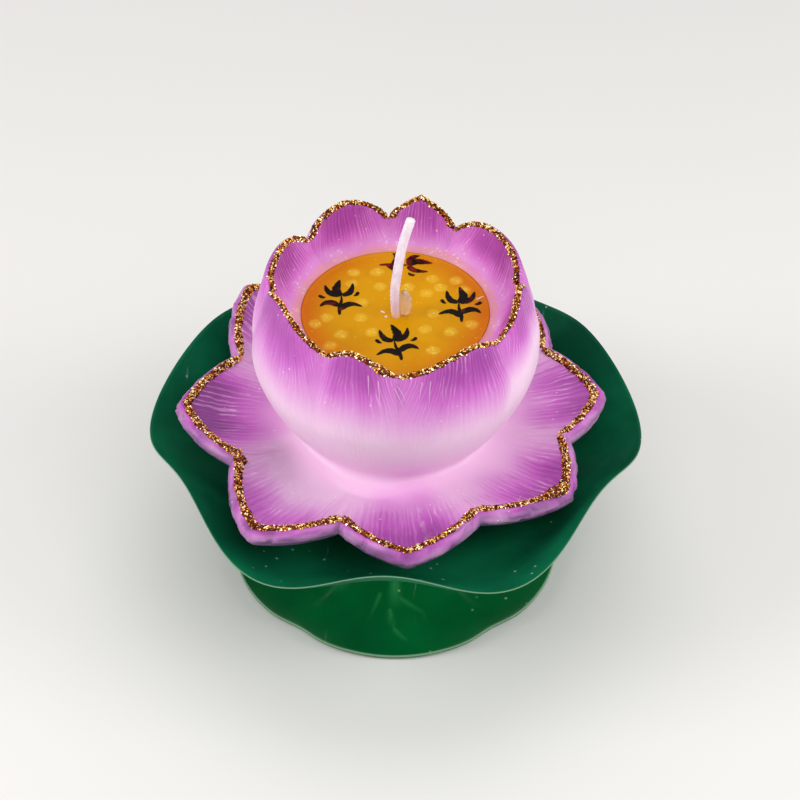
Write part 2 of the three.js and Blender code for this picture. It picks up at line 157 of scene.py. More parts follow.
class Socket:
    """An output of a material's node, on which sums are written as expressions."""

    def __init__(self, shade: "Shade", output: bpy.types.NodeSocket) -> None:
        """Keeps the material and the output that this stands for."""
        self.shade = shade
        self.output = output

    def maths(self, operation: str, *values: "Socket | float") -> "Socket":
        """Adds a Math node that works on this socket and the values."""
        inputs = dict(enumerate((self, *values)))
        return self.shade.node("ShaderNodeMath", {"operation": operation}, inputs)

    def __add__(self, other: "Socket | float") -> "Socket":
        """Returns self + other."""
        return self.maths("ADD", other)

    __radd__ = __add__

    def __mul__(self, other: "Socket | float") -> "Socket":
        """Returns self * other."""
        return self.maths("MULTIPLY", other)

    __rmul__ = __mul__

    def __sub__(self, other: "Socket | float") -> "Socket":
        """Returns self - other."""
        return self.maths("SUBTRACT", other)

    def __rsub__(self, other: float) -> "Socket":
        """Returns other - self."""
        return self.shade.node("ShaderNodeMath", {"operation": "SUBTRACT"}, {0: other, 1: self})

    def rise(self, start: float, end: float) -> "Socket":
        """Turns the socket's value into a soft step.

        Args:
            start: Value at which the step starts.
            end: Value at which it ends, which may be the lower one.

        Returns:
            0 before start and 1 past end, with an S curve between them.
        """
        settings = {"interpolation_type": "SMOOTHSTEP"}
        values = {"Value": self, "From Min": start, "From Max": end}
        return self.shade.node("ShaderNodeMapRange", settings, values)


class Shade:
    """The nodes of a material or a world under construction."""

    def __init__(self, owner: str | bpy.types.World) -> None:
        """Starts the nodes.

        Args:
            owner: Name of a new material, or the world whose nodes these are.
        """
        self.owner = bpy.data.materials.new(owner) if isinstance(owner, str) else owner
        self.owner.use_nodes = True
        self.tree = self.owner.node_tree
        self.tree.nodes.clear()

    def node(
        self,
        kind: str,
        settings: dict[str, object] | None = None,
        values: dict[str | int, object] | None = None,
        out: int | str = 0,
    ) -> Socket:
        """Adds a node.

        Args:
            kind: The node's type.
            settings: Properties of the node; stops are those of a colour ramp.
            values: Values or sockets for its inputs.
            out: Which output to give back.

        Returns:
            The output.
        """
        made = self.tree.nodes.new(kind)
        for key, setting in (settings or {}).items():
            if key == "stops":
                self.set_stops(made.color_ramp, setting)
            else:
                setattr(made, key, setting)
        for key, value in (values or {}).items():
            if isinstance(value, Socket):
                self.tree.links.new(value.output, made.inputs[key])
            elif isinstance(value, tuple) and made.inputs[key].type == "RGBA":
                made.inputs[key].default_value = (*value, 1)
            else:
                made.inputs[key].default_value = value
        return Socket(self, made.outputs[out])

    @staticmethod
    def set_stops(ramp: bpy.types.ColorRamp, stops: Sequence[tuple[float, Colour]]) -> None:
        """Gives a colour ramp its stops.

        Args:
            ramp: The ramp.
            stops: The place from 0 to 1 and the colour of each, in order.
        """
        while len(ramp.elements) < len(stops):
            ramp.elements.new(1)
        for element, (place, colour) in zip(ramp.elements, stops):
            element.position = place
            element.color = (*colour, 1)

    def ramp(self, factor: Socket, stops: Sequence[tuple[float, Colour]]) -> Socket:
        """Returns a colour that follows the stops as factor goes from 0 to 1."""
        return self.node("ShaderNodeValToRGB", {"stops": stops}, {"Fac": factor})

    def mix(self, factor: Socket, first: Socket | Colour, second: Socket | Colour) -> Socket:
        """Returns first at factor 0 and second at factor 1."""
        values = {0: factor, 6: first, 7: second}
        return self.node("ShaderNodeMix", {"data_type": "RGBA"}, values, 2)

    def mark(self, name: str, out: str = "Fac") -> Socket:
        """Returns the mesh attribute of that name, as a number unless out says otherwise."""
        return self.node("ShaderNodeAttribute", {"attribute_name": name}, out=out)

    def place(self) -> Socket:
        """Returns the point in the object's own coordinates, in metres."""
        return self.node("ShaderNodeTexCoord", out="Object")

    def stretched(self, vector: Socket, scale: tuple[float, float, float]) -> Socket:
        """Returns a vector scaled along each axis."""
        return self.node("ShaderNodeMapping", None, {"Vector": vector, "Scale": scale})

    def cloud(self, vector: Socket, scale: float, detail: float = 2, rough: float = 0.5) -> Socket:
        """Returns soft noise from 0 to 1."""
        values = {"Vector": vector, "Scale": scale, "Detail": detail, "Roughness": rough}
        return self.node("ShaderNodeTexNoise", None, values)

    def angle(self, vector: Socket) -> Socket:
        """Returns a vector's angle round the upright axis, in radians."""
        x, y = (self.node("ShaderNodeSeparateXYZ", None, {0: vector}, axis) for axis in "XY")
        return y.maths("ARCTAN2", x)

    def cells(self, vector: Socket, scale: float, out: str = "Distance") -> Socket:
        """Returns a Voronoi pattern's distance or colour."""
        return self.node("ShaderNodeTexVoronoi", None, {"Vector": vector, "Scale": scale}, out)

    def bump(self, height: Socket, depth: float) -> Socket:
        """Returns a normal tilted by a height that is depth metres deep."""
        return self.node("ShaderNodeBump", None, {"Height": height, "Distance": depth})

    def surface(self, **values: object) -> bpy.types.Material:
        """Ends the material with a Principled shader.

        Args:
            **values: The shader's values or sockets, under the names of its inputs.

        Returns:
            The material.
        """
        named = {key.replace("_", " "): value for key, value in values.items()}
        shader = self.node("ShaderNodeBsdfPrincipled", None, named)
        self.finish(shader, "ShaderNodeOutputMaterial")
        return self.owner

    def finish(self, shader: Socket, kind: str) -> None:
        """Links a shader to an output node of that type."""
        made = self.tree.nodes.new(kind)
        self.tree.links.new(shader.output, made.inputs["Surface"])


@dataclass(frozen=True)
class AirbrushedWax:
    """Moulded wax, airbrushed from pinkish white to orchid purple along its veins."""

    name: str = "airbrushed_wax"
    white: Colour = srgb(245, 209, 236)
    pink: Colour = srgb(228, 162, 220)
    orchid: Colour = srgb(206, 104, 200)
    deep: Colour = srgb(168, 66, 164)
    deepest: Colour = srgb(134, 46, 134)
    ridge: Colour = srgb(248, 206, 240)
    groove: Colour = srgb(156, 68, 154)
    # Pale frost of the wax's specks and haze, also the colour of painted highlight dashes on the
    # vein crests
    frost_and_highlight: Colour = srgb(253, 238, 250)
    # Orange near the gel: partly stain, partly painted glow of light coming through the gel
    amber: Colour = srgb(226, 150, 90)
    dirt: Colour = srgb(120, 60, 80)
    # Greyish violet of painted shade, which darkens the saucer's top and the lower part of its edge
    painted_shade: Colour = srgb(118, 84, 128)
    veins: int = 158  # in a full turn of the fan
    wander: float = 20  # radians by which the veins stray from an even spacing
    kink: float = 7  # radians by which each of them bends to and fro
    line_depth: float = 0.0001  # depth in metres of the veins, as bump
    speck_scale: float = 420
    haze_scale: float = 900
    dust_scale: float = 170

    def material(self) -> bpy.types.Material:
        """Builds the material.

        Paint, stain, haze, dusk, relief and fan are attributes of the mesh; dusk marks painted
        shade.

        Returns:
            The material.
        """
        shade = Shade(self.name)
        fan, place, relief = shade.mark("fan", "Vector"), shade.place(), shade.mark("relief")
        kinks = shade.cloud(shade.stretched(fan, (0.35, 0.35, 4)), 1)
        phase = shade.angle(fan) * self.veins + shade.cloud(fan, 0.16, 1) * self.wander
        vein = (phase + kinks * self.kink).maths("SINE")
        patches = shade.cloud(place, 100, 2)
        ridges = vein.rise(0.1, 1) * (patches.rise(0.42, 0.66) * 0.85 + 0.15) * relief
        grooves = vein.rise(-0.4, -1) * patches.rise(0.56, 0.36) * relief
        # Painted highlight: broken pale dashes along the vein crests
        highlight_dashes = vein.rise(0.75, 0.98) * shade.cloud(place, 420, 1).rise(0.5, 0.58)
        highlight_dashes = highlight_dashes * patches.rise(0.46, 0.6) * relief
        lines = shade.cloud(fan, 1.1, 3, 0.6)
        broad = shade.cloud(place, 24, 2)
        spray = shade.cloud(place, 90, 3)
        uneven = (lines - 0.5) * 0.36 * relief + (broad - 0.5) * 0.22 + (spray - 0.5) * 0.16
        paint = shade.mark("paint") + uneven
        stops = [
            (0, self.white),
            (0.3, self.pink),
            (0.62, self.orchid),
            (0.86, self.deep),
            (1, self.deepest),
        ]
        colour = shade.ramp(paint * 0.86, stops)
        colour = shade.mix(ridges * 0.33, colour, self.ridge)
        colour = shade.mix(grooves * 0.4 * paint.rise(0.1, 0.6), colour, self.groove)
        # Painted shade: greyish violet on the saucer's top, away from the cup, and low on its edge
        colour = shade.mix(shade.mark("painted_shade") * (0.7 + spray * 0.6), colour, self.painted_shade)
        here = shade.cloud(place, 160).rise(0.5, 0.62)
        crumbs = shade.cells(place, self.speck_scale).rise(0.13, 0.09) * here
        veil = shade.cells(place, self.haze_scale).rise(0.36, 0.2) * 0.55 + 0.1
        specks = crumbs * 0.5 + veil * shade.mark("haze")
        # Real frost specks and haze, and the painted highlight dashes, all turn pale here
        colour = shade.mix(specks + highlight_dashes * 0.17, colour, self.frost_and_highlight)
        dust = shade.cells(place, self.dust_scale).rise(0.026, 0.018)
        colour = shade.mix(dust * 0.6, colour, self.dirt)
        # On the lining just above the gel: partly a stain, partly a painted orange glow from the
        # gel
        colour = shade.mix(shade.mark("stain"), colour, self.amber)
        height = (ridges - grooves) * 0.9 + lines * 0.3 * relief
        height = height + specks * 0.4 + shade.cloud(place, 900, 2) * 0.1
        return shade.surface(
            Base_Color=colour,
            Roughness=0.4 + (spray - 0.5) * 0.2 - ridges * 0.08,
            Normal=shade.bump(height, self.line_depth),
            Subsurface_Weight=0.3,
            Subsurface_Radius=(1.0, 0.6, 0.8),
            Subsurface_Scale=0.002,
            Specular_IOR_Level=0.25,
        )


@dataclass(frozen=True)
class GreenLeaf:
    """Moulded green plastic sheet with a pale cut edge, satin or glossy."""

    name: str
    green: Colour
    shadow: Colour
    roughness: float
    wear: float
    shine: float
    ior: float
    edge: Colour = srgb(140, 174, 142)
    # Pale green of painted highlight streaks along the foot's veins
    sheen_green: Colour = srgb(60, 166, 92)
    dust: Colour = srgb(176, 200, 184)
    grain_depth: float = 0.00003

    def material(self) -> bpy.types.Material:
        """Builds the material.

        Cut and rub are attributes: cut is highest along the edge, and rub marks painted highlight
        streaks along the ribs.

        Returns:
            The material.
        """
        shade = Shade(self.name)
        place = shade.place()
        # Random mottle between shadow and green: tone that varies, whose lighter patches also stand
        # in for soft reflections (painted sheen)
        mottle = shade.cloud(place, 28, 4, 0.55)
        fine = shade.cloud(place, 700, 2)
        colour = shade.mix(mottle.rise(0.3, 0.7), self.shadow, self.green)
        scuffs = shade.cloud(shade.stretched(place, (260, 30, 60)), 1, 3, 0.6).rise(0.66, 0.74)
        specks = shade.cells(place, 230).rise(0.11, 0.06) * shade.cloud(place, 45).rise(0.47, 0.57)
        worn = scuffs * 0.25 + specks * 0.8
        colour = shade.mix(worn * self.wear, colour, self.dust)
        # Painted highlight: pale streaks along the foot's veins
        colour = shade.mix(shade.mark("painted_sheen") * mottle, colour, self.sheen_green)
        colour = shade.mix(shade.mark("cut"), colour, self.edge)
        roughness = self.roughness + (mottle - 0.5) * 0.12 + worn * 0.2 + shade.mark("cut") * 0.3
        return shade.surface(
            Base_Color=colour,
            Roughness=roughness,
            Normal=shade.bump(fine + mottle * 2, self.grain_depth),
            Specular_IOR_Level=self.shine,
            IOR=self.ior,
        )


@dataclass(frozen=True)
class AmberGel:
    """Translucent amber gel wax, paler over its pearls and redder at its edge."""

    name: str = "amber_gel_wax"
    amber: Colour = srgb(214, 152, 0)
    edge: Colour = srgb(206, 102, 6)
    deep: Colour = srgb(196, 124, 0)
    pearl: Colour = srgb(242, 204, 70)
    grain_depth: float = 0.0002

    def material(self) -> bpy.types.Material:
        """Builds the material; pearl and brim are attributes of the mesh.

        Returns:
            The material.
        """
        shade = Shade(self.name)
        place = shade.place()
        cloud = shade.cloud(place, 120, 3)
        colour = shade.mix(cloud.rise(0.45, 0.7) * 0.35, self.amber, self.deep)
        colour = shade.mix(shade.mark("brim"), colour, self.edge)
        bubbles = shade.cells(place, 520).rise(0.2, 0.08) * shade.cloud(place, 260).rise(0.45, 0.6)
        glow = shade.mark("pearl") * (0.9 + (cloud - 0.5) * 0.5) + bubbles * 0.3
        colour = shade.mix(glow, colour, self.pearl)
        return shade.surface(
            Base_Color=colour,
            Roughness=0.26 + cloud * 0.12,
            Normal=shade.bump(cloud, self.grain_depth),
            Subsurface_Weight=0.12,
            Subsurface_Radius=(1.0, 0.45, 0.05),
            Subsurface_Scale=0.002,
            Specular_IOR_Level=0.3,
            IOR=1.22,
        )


@dataclass(frozen=True)
class GoldGlitter:
    """Gold glitter flakes, each with its own tone, or the brown glue under them."""

    name: str = "gold_glitter_flakes"
    metallic: float = 1.0
    roughness: float = 0.24
    brown: Colour = srgb(56, 10, 2)
    bronze: Colour = srgb(160, 70, 8)
    gold: Colour = srgb(244, 172, 52)
    pale: Colour = srgb(255, 250, 204)
    grain_depth: float = 0.0001

    def material(self) -> bpy.types.Material:
        """Builds the material; spark is an attribute from 0, brown, to 1, pale gold.

        Returns:
            The material.
        """
        shade = Shade(self.name)
        tiny = shade.cells(shade.place(), 2600, "Color")
        spark = shade.mark("spark") + (tiny - 0.5) * 0.25
        stops = [(0, self.brown), (0.35, self.bronze), (0.6, self.gold), (1, self.pale)]
        return shade.surface(
            Base_Color=shade.ramp(spark, stops),
            Metallic=self.metallic,
            Roughness=self.roughness + (1 - spark) * 0.15,
            Normal=shade.bump(tiny, self.grain_depth),
        )


@dataclass(frozen=True)
class BrushInk:
    """Black brush ink under gel, with a brown-red fringe where it thins."""

    name: str = "brush_ink"
    ink: Colour = srgb(10, 5, 3)
    fringe: Colour = srgb(120, 26, 14)
    grain_depth: float = 0.00004

    def material(self) -> bpy.types.Material:
        """Builds the material; thin is an attribute that is 1 where the ink thins.

        Returns:
            The material.
        """
        shade = Shade(self.name)
        cloud = shade.cloud(shade.place(), 500, 3)
        thin = shade.mark("thin") * cloud.rise(0.3, 0.6)
        return shade.surface(
            Base_Color=shade.mix(thin, self.ink, self.fringe),
            Roughness=0.24 + cloud * 0.2,
            Normal=shade.bump(cloud, self.grain_depth),
            Specular_IOR_Level=0.25,
            IOR=1.22,
        )


@dataclass(frozen=True)
class WaxedCotton:
    """White cotton braid soaked in wax."""

    name: str = "waxed_cotton"
    white: Colour = srgb(253, 247, 250)
    shadow: Colour = srgb(240, 224, 236)
    amber: Colour = srgb(226, 180, 110)
    strand_depth: float = 0.0001

    def material(self) -> bpy.types.Material:
        """Builds the material; stain is an attribute that is highest at the gel.

        Returns:
            The material.
        """
        shade = Shade(self.name)
        place = shade.place()
        strand = shade.cloud(shade.stretched(place, (900, 900, 260)), 1, 3)
        colour = shade.mix(strand.rise(0.35, 0.65), self.shadow, self.white)
        colour = shade.mix(shade.mark("stain"), colour, self.amber)
        return shade.surface(
            Base_Color=colour,
            Roughness=0.45 + (strand - 0.5) * 0.3,
            Normal=shade.bump(strand, self.strand_depth),
            Subsurface_Weight=0.3,
            Subsurface_Radius=(1.0, 0.8, 0.7),
            Subsurface_Scale=0.001,
        )


@dataclass(frozen=True)
class ClearGlue:
    """A clear drop of glue with tiny bubbles."""

    name: str = "clear_glue_drop"
    tint: Colour = srgb(255, 246, 226)
    honey: Colour = srgb(252, 226, 176)
    ripple_depth: float = 0.0002

    def material(self) -> bpy.types.Material:
        """Builds the material.

        Returns:
            The material.
        """
        shade = Shade(self.name)
        cloud = shade.cloud(shade.place(), 600, 3)
        return shade.surface(
            Base_Color=shade.mix(cloud.rise(0.4, 0.7), self.tint, self.honey),
            Roughness=0.06 + cloud * 0.1,
            Normal=shade.bump(cloud, self.ripple_depth),
            Transmission_Weight=0.7,
            IOR=1.42,
        )


@dataclass(frozen=True)
class TinPlate:
    """Stamped tin plate with fine turning marks."""

    name: str = "tin_plate_stamped"
    dull: Colour = srgb(176, 176, 172)
    bright: Colour = srgb(206, 204, 198)
    mark_depth: float = 0.00005

    def material(self) -> bpy.types.Material:
        """Builds the material.

        Returns:
            The material.
        """
        shade = Shade(self.name)
        place = shade.place()
        brushed = shade.cloud(shade.stretched(place, (400, 400, 4000)), 1, 3)
        stain = shade.cloud(place, 300, 2)
        return shade.surface(
            Base_Color=shade.mix(stain, self.dull, self.bright),
            Metallic=1.0,
            Roughness=0.28 + brushed * 0.2,
            Normal=shade.bump(brushed, self.mark_depth),
        )


class Stop(NamedTuple):
    """One point of a profile: radius and height in mm, then the values of its marks."""

    radius: float
    height: float
    marks: dict[str, float] = {}
    fan: tuple[float, float, float] = (0, 0, 0)


def sleeve(steps: int, sides: int, place: Callable[[float, float], Vector]) -> bmesh.types.BMesh:
    """Rolls a grid into a tube whose ends close to a point.

    Args:
        steps: Steps along the tube.
        sides: Sides round it.
        place: Gives a point in metres from the share along, 0 to 1, and the angle round.

    Returns:
        A closed mesh.
    """
    mesh = bmesh.new()
    bmesh.ops.create_grid(mesh, x_segments=sides, y_segments=steps, size=1)
    for vertex in mesh.verts:
        side = round((vertex.co.x + 1) / 2 * sides) % sides
        vertex.co = place((vertex.co.y + 1) / 2, math.tau * side / sides)
    return closed(mesh)


def closed(mesh: bmesh.types.BMesh) -> bmesh.types.BMesh:
    """Joins a mesh's seams and poles and points its faces outwards.

    Args:
        mesh: The mesh, in metres.

    Returns:
        The same mesh.
    """
    bmesh.ops.remove_doubles(mesh, verts=mesh.verts, dist=JOIN_WITHIN)
    bmesh.ops.recalc_face_normals(mesh, faces=mesh.faces)
    return mesh


def merged(parts: Iterable[bmesh.types.BMesh]) -> bmesh.types.BMesh:
    """Puts several meshes into one.

    Args:
        parts: The meshes, which are freed.

    Returns:
        The mesh of all of them.
    """
    whole = bmesh.new()
    for part in parts:
        data = bpy.data.meshes.new("part")
        part.to_mesh(data)
        part.free()
        whole.from_mesh(data)
        bpy.data.meshes.remove(data)
    return whole


def set_mark(mesh: bmesh.types.BMesh, name: str, value: Callable[[Vector], float]) -> None:
    """Gives a mesh a number attribute.

    Args:
        mesh: The mesh.
        name: The attribute's name.
        value: Gives the number at a point in mm.
    """
    layer = mesh.verts.layers.float.new(name)
    for vertex in mesh.verts:
        vertex[layer] = value(vertex.co / MM)


def eased(start: Vector, end: Vector, leave: Vector, arrive: Vector, share: float) -> Vector:
    """Follows a curve between two points.

    Args:
        start: Point at a share of 0.
        end: Point at a share of 1.
        leave: Arrow along which it leaves the start.
        arrive: Arrow along which it comes to the end.
        share: Share of the way.

    Returns:
        The point there.
    """
    bend = share * share * (3 - 2 * share)
    return start.lerp(end, bend) + share * (1 - share) * (leave * (1 - share) - arrive * share)


def settle(
    mesh: bmesh.types.BMesh,
    name: str,
    material: bpy.types.Material,
    body: Body,
    slot: Slot,
    replaced: Sequence[str] = (),
    shaded_smooth: bool = True,
) -> None:
    """Makes an object of a mesh and sets it in the frame.

    Args:
        mesh: The mesh, in metres and in its place; it is freed.
        name: The piece's name.
        material: Its finish.
        body: The body that it rides on.
        slot: Not used.
        replaced: Frame nodes that it stands for.
        shaded_smooth: Whether its faces are shaded smooth.
    """
    data = bpy.data.meshes.new(name)
    mesh.to_mesh(data)
    mesh.free()
    if shaded_smooth:
        data.shade_smooth()
    data.materials.append(material)
    piece = bpy.data.objects.new(name, data)
    bpy.context.scene.collection.objects.link(piece)
    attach(piece, body.value)
    if replaced:
        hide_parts(*replaced)
    LOG.info("%s: %d faces", name, len(data.polygons))


class Moulding:
    """A piece moulded round the upright axis, which stands for a node of the frame."""

    piece: ClassVar[str]
    node: ClassVar[str]
    body: ClassVar[Body] = Body.CANDLE
    slot: ClassVar[Slot]
    marks: ClassVar[Sequence[str]]  # the number attributes that its stops carry
    fanned: ClassVar[bool] = False  # whether they carry the vector attribute fan
    columns: int  # steps round the axis

    def profile(self, turn: float) -> list[Stop]:
        """Draws the profile at a turn in degrees, with the same number of stops each time."""
        raise NotImplementedError

    def mould(self) -> bmesh.types.BMesh:
        """Bends a grid round the axis and moulds it to the profiles.

        Returns:
            A closed mesh in metres.
        """
        columns = self.columns
        profiles = [self.profile(360 * column / columns) for column in range(columns)]
        rows = len(profiles[0]) - 1
        mesh = bmesh.new()
        layers = {name: mesh.verts.layers.float.new(name) for name in self.marks}
        arrows = mesh.verts.layers.float_vector.new("fan") if self.fanned else None
        bmesh.ops.create_grid(mesh, x_segments=columns, y_segments=rows, size=1)
        for vertex in mesh.verts:
            column = round((vertex.co.x + 1) / 2 * columns) % columns
            stop = profiles[column][round((vertex.co.y + 1) / 2 * rows)]
            vertex.co = polar(stop.radius, 360 * column / columns, stop.height)
            for name, layer in layers.items():
                vertex[layer] = stop.marks.get(name, 0)
            if arrows:
                vertex[arrows] = stop.fan
        return closed(mesh)

    def build(self, finish: bpy.types.Material) -> None:
        """Builds the piece and sets it in the frame."""
        settle(self.mould(), self.piece, finish, self.body, self.slot, [self.node])


FAN_STRETCH = 0.05  # how slowly a pattern changes along the veins
BLUSH_TURN = 279  # turn in degrees at which the cup's foot is pinkest
BLUSH_WIDTH = 12


class Petal(NamedTuple):
    """A petal of a ring."""

    start: float  # turn in degrees of the valley before it
    tip: float  # turn of its tip
    valley_share: float  # share of the ring's height or reach in that valley
    tip_share: float  # the same at its tip
    blunt: float = 1.15  # the higher, the rounder its tip
    valley_lift: float = 0  # share of the ring's lift in the valley
    tip_lift: float = 0  # the same at its tip
    paint: float = 1  # strength of its paint
    inner: float = 0.15  # share of the way out at which the paint starts


class Spot(NamedTuple):
    """Where a turn lies on a ring: its petal, the valley beside it, and how far up it is."""

    petal: Petal
    valley: Petal
    share: float
    lean: float


class PetalRing:
    """Petals set side by side round the axis."""

    def __init__(self, petals: Sequence[Petal]) -> None:
        """Keeps the petals, counter-clockwise."""
        self.petals = list(petals)
        self.starts = [petal.start for petal in petals]

    def end(self, index: int) -> float:
        """Returns the turn at which a petal ends."""
        later = self.starts[index + 1 :]
        return later[0] if later else self.starts[0] + 360

    def spot(self, turn: float) -> Spot:
        """Finds where a turn lies.

        Args:
            turn: The turn in degrees.

        Returns:
            Its spot, whose share is 0 in a valley and 1 at a tip.
        """
        degrees = (turn - self.starts[0]) % 360 + self.starts[0]
        index = bisect_right(self.starts, degrees) - 1
        petal, end = self.petals[index], self.end(index)
        if degrees <= petal.tip:
            share = (degrees - petal.start) / (petal.tip - petal.start)
            return Spot(petal, petal, share, degrees - petal.tip)
        following = self.petals[(index + 1) % len(self.petals)]
        return Spot(petal, following, (end - degrees) / (end - petal.tip), degrees - petal.tip)


def fan_at(spot: Spot, reach: float, along: float, pinch: float) -> tuple[float, float, float]:
    """Places a point among a petal's veins, which draw together towards its tip.

    Args:
        spot: Where the turn lies.
        reach: Radius in mm at which a mm round the fan is a mm on the wax.
        along: Distance in mm along the veins.
        pinch: How much the veins draw together, from 0 to 1.

    Returns:
        The point, in which veins run along Z.
    """
    x, y = facing(spot.petal.tip + spot.lean / (1 - pinch))
    return reach * x, reach * y, along * FAN_STRETCH


def folds(fan: tuple[float, float, float], spacing: float) -> float:
    """Returns the relief of soft folds along the veins from -1 to 1, so many mm apart."""
    x, y, z = fan
    return grain(x / spacing, y / spacing, z)


def patch(turn: float, middle: float, width: float) -> float:
    """Returns 1 at a middle turn and 0 well past a width from it, in degrees from 0 to 360."""
    return math.exp(-(((turn % 360 - middle) / width) ** 2))


def blush(turn: float) -> float:
    """Returns the faint paint round the cup's foot, which is pinker at the front."""
    return 0.02 + 0.1 * patch(turn, BLUSH_TURN, BLUSH_WIDTH)


def paint_start(spot: Spot) -> float:
    """Returns the share of the way out at which the paint starts."""
    return lerp(spot.valley.inner, spot.petal.inner, smooth(0, 0.5, spot.share))


@dataclass
class PetalCup(Moulding):
    """The upper petals: a thick-walled wax cup."""

    piece = "petal_cup"
    node = "upper_petals"
    slot = Slot.PETAL_WAX
    marks = ("paint", "stain", "haze", "relief")
    fanned = True

    ring: PetalRing
    seat: float  # height of the cup's foot
    fill_top: float
    radius: float = 36.8
    height: float = 48.5
    spigot_radius: float = 21.7
    rim: float = 2.6
    crease_depth: float = 2.2
    crease_share: float = 0.22
    crown: float = 0.6
    floor_radius: float = 16
    floor_wax: float = 3.7
    mouth_radius: float = 24
    meniscus: float = 0.3  # height to which the gel climbs the lining
    fold_depth: float = 0.12
    fold_spacing: float = 4.5
    lining_fold_depth: float = 0.2
    lining_fold_spacing: float = 2.6
    lump_height: float = 0.28
    pinch: float = 0.3  # how much the veins draw together at the rim
    columns: int = 860
    wall_rows: int = 60
    rim_rows: int = 8
    lining_rows: int = 22

    # Radius as shares of the cup's, at shares of its height
    belly_shares = (
        (0.0, 0.685), (0.07, 0.761), (0.18, 0.856), (0.3, 0.935), (0.43, 0.989),
        (0.52, 1.0), (0.64, 0.984), (0.77, 0.935), (1.05, 0.828),
    )

    def belly(self, share: float) -> float:
        """Follows the belly's smooth curve.

        Args:
            share: Share of the cup's height.

        Returns:
            The radius there, as a share of the cup's.
        """
        knots = self.belly_shares
        last = len(knots) - 1
        index = max(0, min(last - 1, bisect_right([x for x, _ in knots], share) - 1))

        def slope(at: int) -> float:
            """Returns how steeply the curve passes a knot."""
            before, after = knots[max(0, at - 1)], knots[min(last, at + 1)]
            return (after[1] - before[1]) / (after[0] - before[0])

        (x0, y0), (x1, y1) = knots[index], knots[index + 1]
        run, t = x1 - x0, (share - x0) / (x1 - x0)
        leave, arrive = slope(index), slope(index + 1)
        bend = t * t * (3 - 2 * t)
        return lerp(y0, y1, bend) + run * t * (1 - t) * (leave * (1 - t) - arrive * t)

    def rim_height(self, spot: Spot) -> float:
        """Returns the height of the rim at a spot."""
        rise = rounded(spot.share, spot.petal.blunt)
        return self.seat + self.height * lerp(spot.valley.valley_share, spot.petal.tip_share, rise)

    def radius_at(self, spot: Spot, height: float) -> float:
        """Finds the outer wall, without its folds and lumps.

        Args:
            spot: Where the turn lies.
            height: Height in mm.

        Returns:
            The radius there in mm.
        """
        share = (height - self.seat) / self.height
        growth = share**2
        crease = math.exp(-((spot.share / self.crease_share) ** 2))
        crown = self.crown * math.sin(math.pi * spot.share / 2)
        return self.radius * self.belly(share) + (crown - self.crease_depth * crease) * growth

    def rim_centre(self, spot: Spot) -> tuple[float, float]:
        """Returns the radius and height of the middle of the rounded rim."""
        height = self.rim_height(spot) - self.rim / 2
        return self.radius_at(spot, height) - self.rim / 2, height

    @staticmethod
    def top_paint(spot: Spot) -> float:
        """Returns how much paint the rim has: most at a tip."""
        return spot.petal.paint * lerp(0.62, 0.94, smooth(0, 0.7, spot.share))

    @staticmethod
    def top_relief(spot: Spot) -> float:
        """Returns how clear the veins are at the rim; they fade in a valley."""
        return lerp(0.25, 0.8, smooth(0, 0.25, spot.share))

    def profile(self, turn: float) -> list[Stop]:
        """Draws the profile at a turn.

        Args:
            turn: The turn in degrees.

        Returns:
            Its stops, from the foot over the rim to the cavity's floor.
        """
        spot = self.ring.spot(turn)
        centre_radius, centre_height = self.rim_centre(spot)
        bottom = low("upper_petals")
        spigot = self.spigot_radius
        stops = [Stop(0, bottom), Stop(spigot, bottom), Stop(spigot, self.seat)]
        for row in range(self.wall_rows + 1):
            share = row / self.wall_rows
            stops.append(self.wall_stop(spot, turn, lerp(self.seat, centre_height, share), share))
        rim_radius = self.rim / 2
        marks = {"paint": self.top_paint(spot), "relief": self.top_relief(spot)}
        for row in range(1, self.rim_rows + 1):
            angle = math.pi * row / self.rim_rows
            radius = centre_radius + rim_radius * math.cos(angle)
            height = centre_height + rim_radius * math.sin(angle)
            stops.append(Stop(radius, height, marks, fan_at(spot, self.radius, height, self.pinch)))
        for row in range(1, self.lining_rows + 1):
            share = 1 - row / self.lining_rows
            stops.append(self.lining_stop(spot, turn, centre_radius, centre_height, share))
        cavity = bottom + self.floor_wax
        stops += [Stop(self.floor_radius, cavity), Stop(0, cavity)]
        return stops

    def wall_stop(self, spot: Spot, turn: float, height: float, share: float) -> Stop:
        """Draws a point of the outer wall, with its folds, lumps and paint.

        Args:
            spot: Where the turn lies.
            turn: The turn in degrees.
            height: The point's height in mm.
            share: Its share of the way from the seat to the rim.

        Returns:
            The point.
        """
        below = self.rim_height(spot) - height
        fan = fan_at(spot, self.radius, height, self.pinch * smooth(14, 0, below))
        depth = self.fold_depth * smooth(0.1, 0.5, share) * smooth(self.rim / 2, 7, below)
        x, y = facing(turn)
        lump = self.lump_height * grain(2.2 * x, 2.2 * y, height / 14) * smooth(0, 0.3, share)
        radius = self.radius_at(spot, height) + depth * folds(fan, self.fold_spacing) + lump
        top = smooth(paint_start(spot), 0.965, share)
        paint = lerp(blush(turn) * smooth(0.35, 0.1, share), self.top_paint(spot), top)
        relief = lerp(0.3 * smooth(0, 0.4, share), self.top_relief(spot), top)
        return Stop(radius, height, {"paint": paint, "relief": relief}, fan)

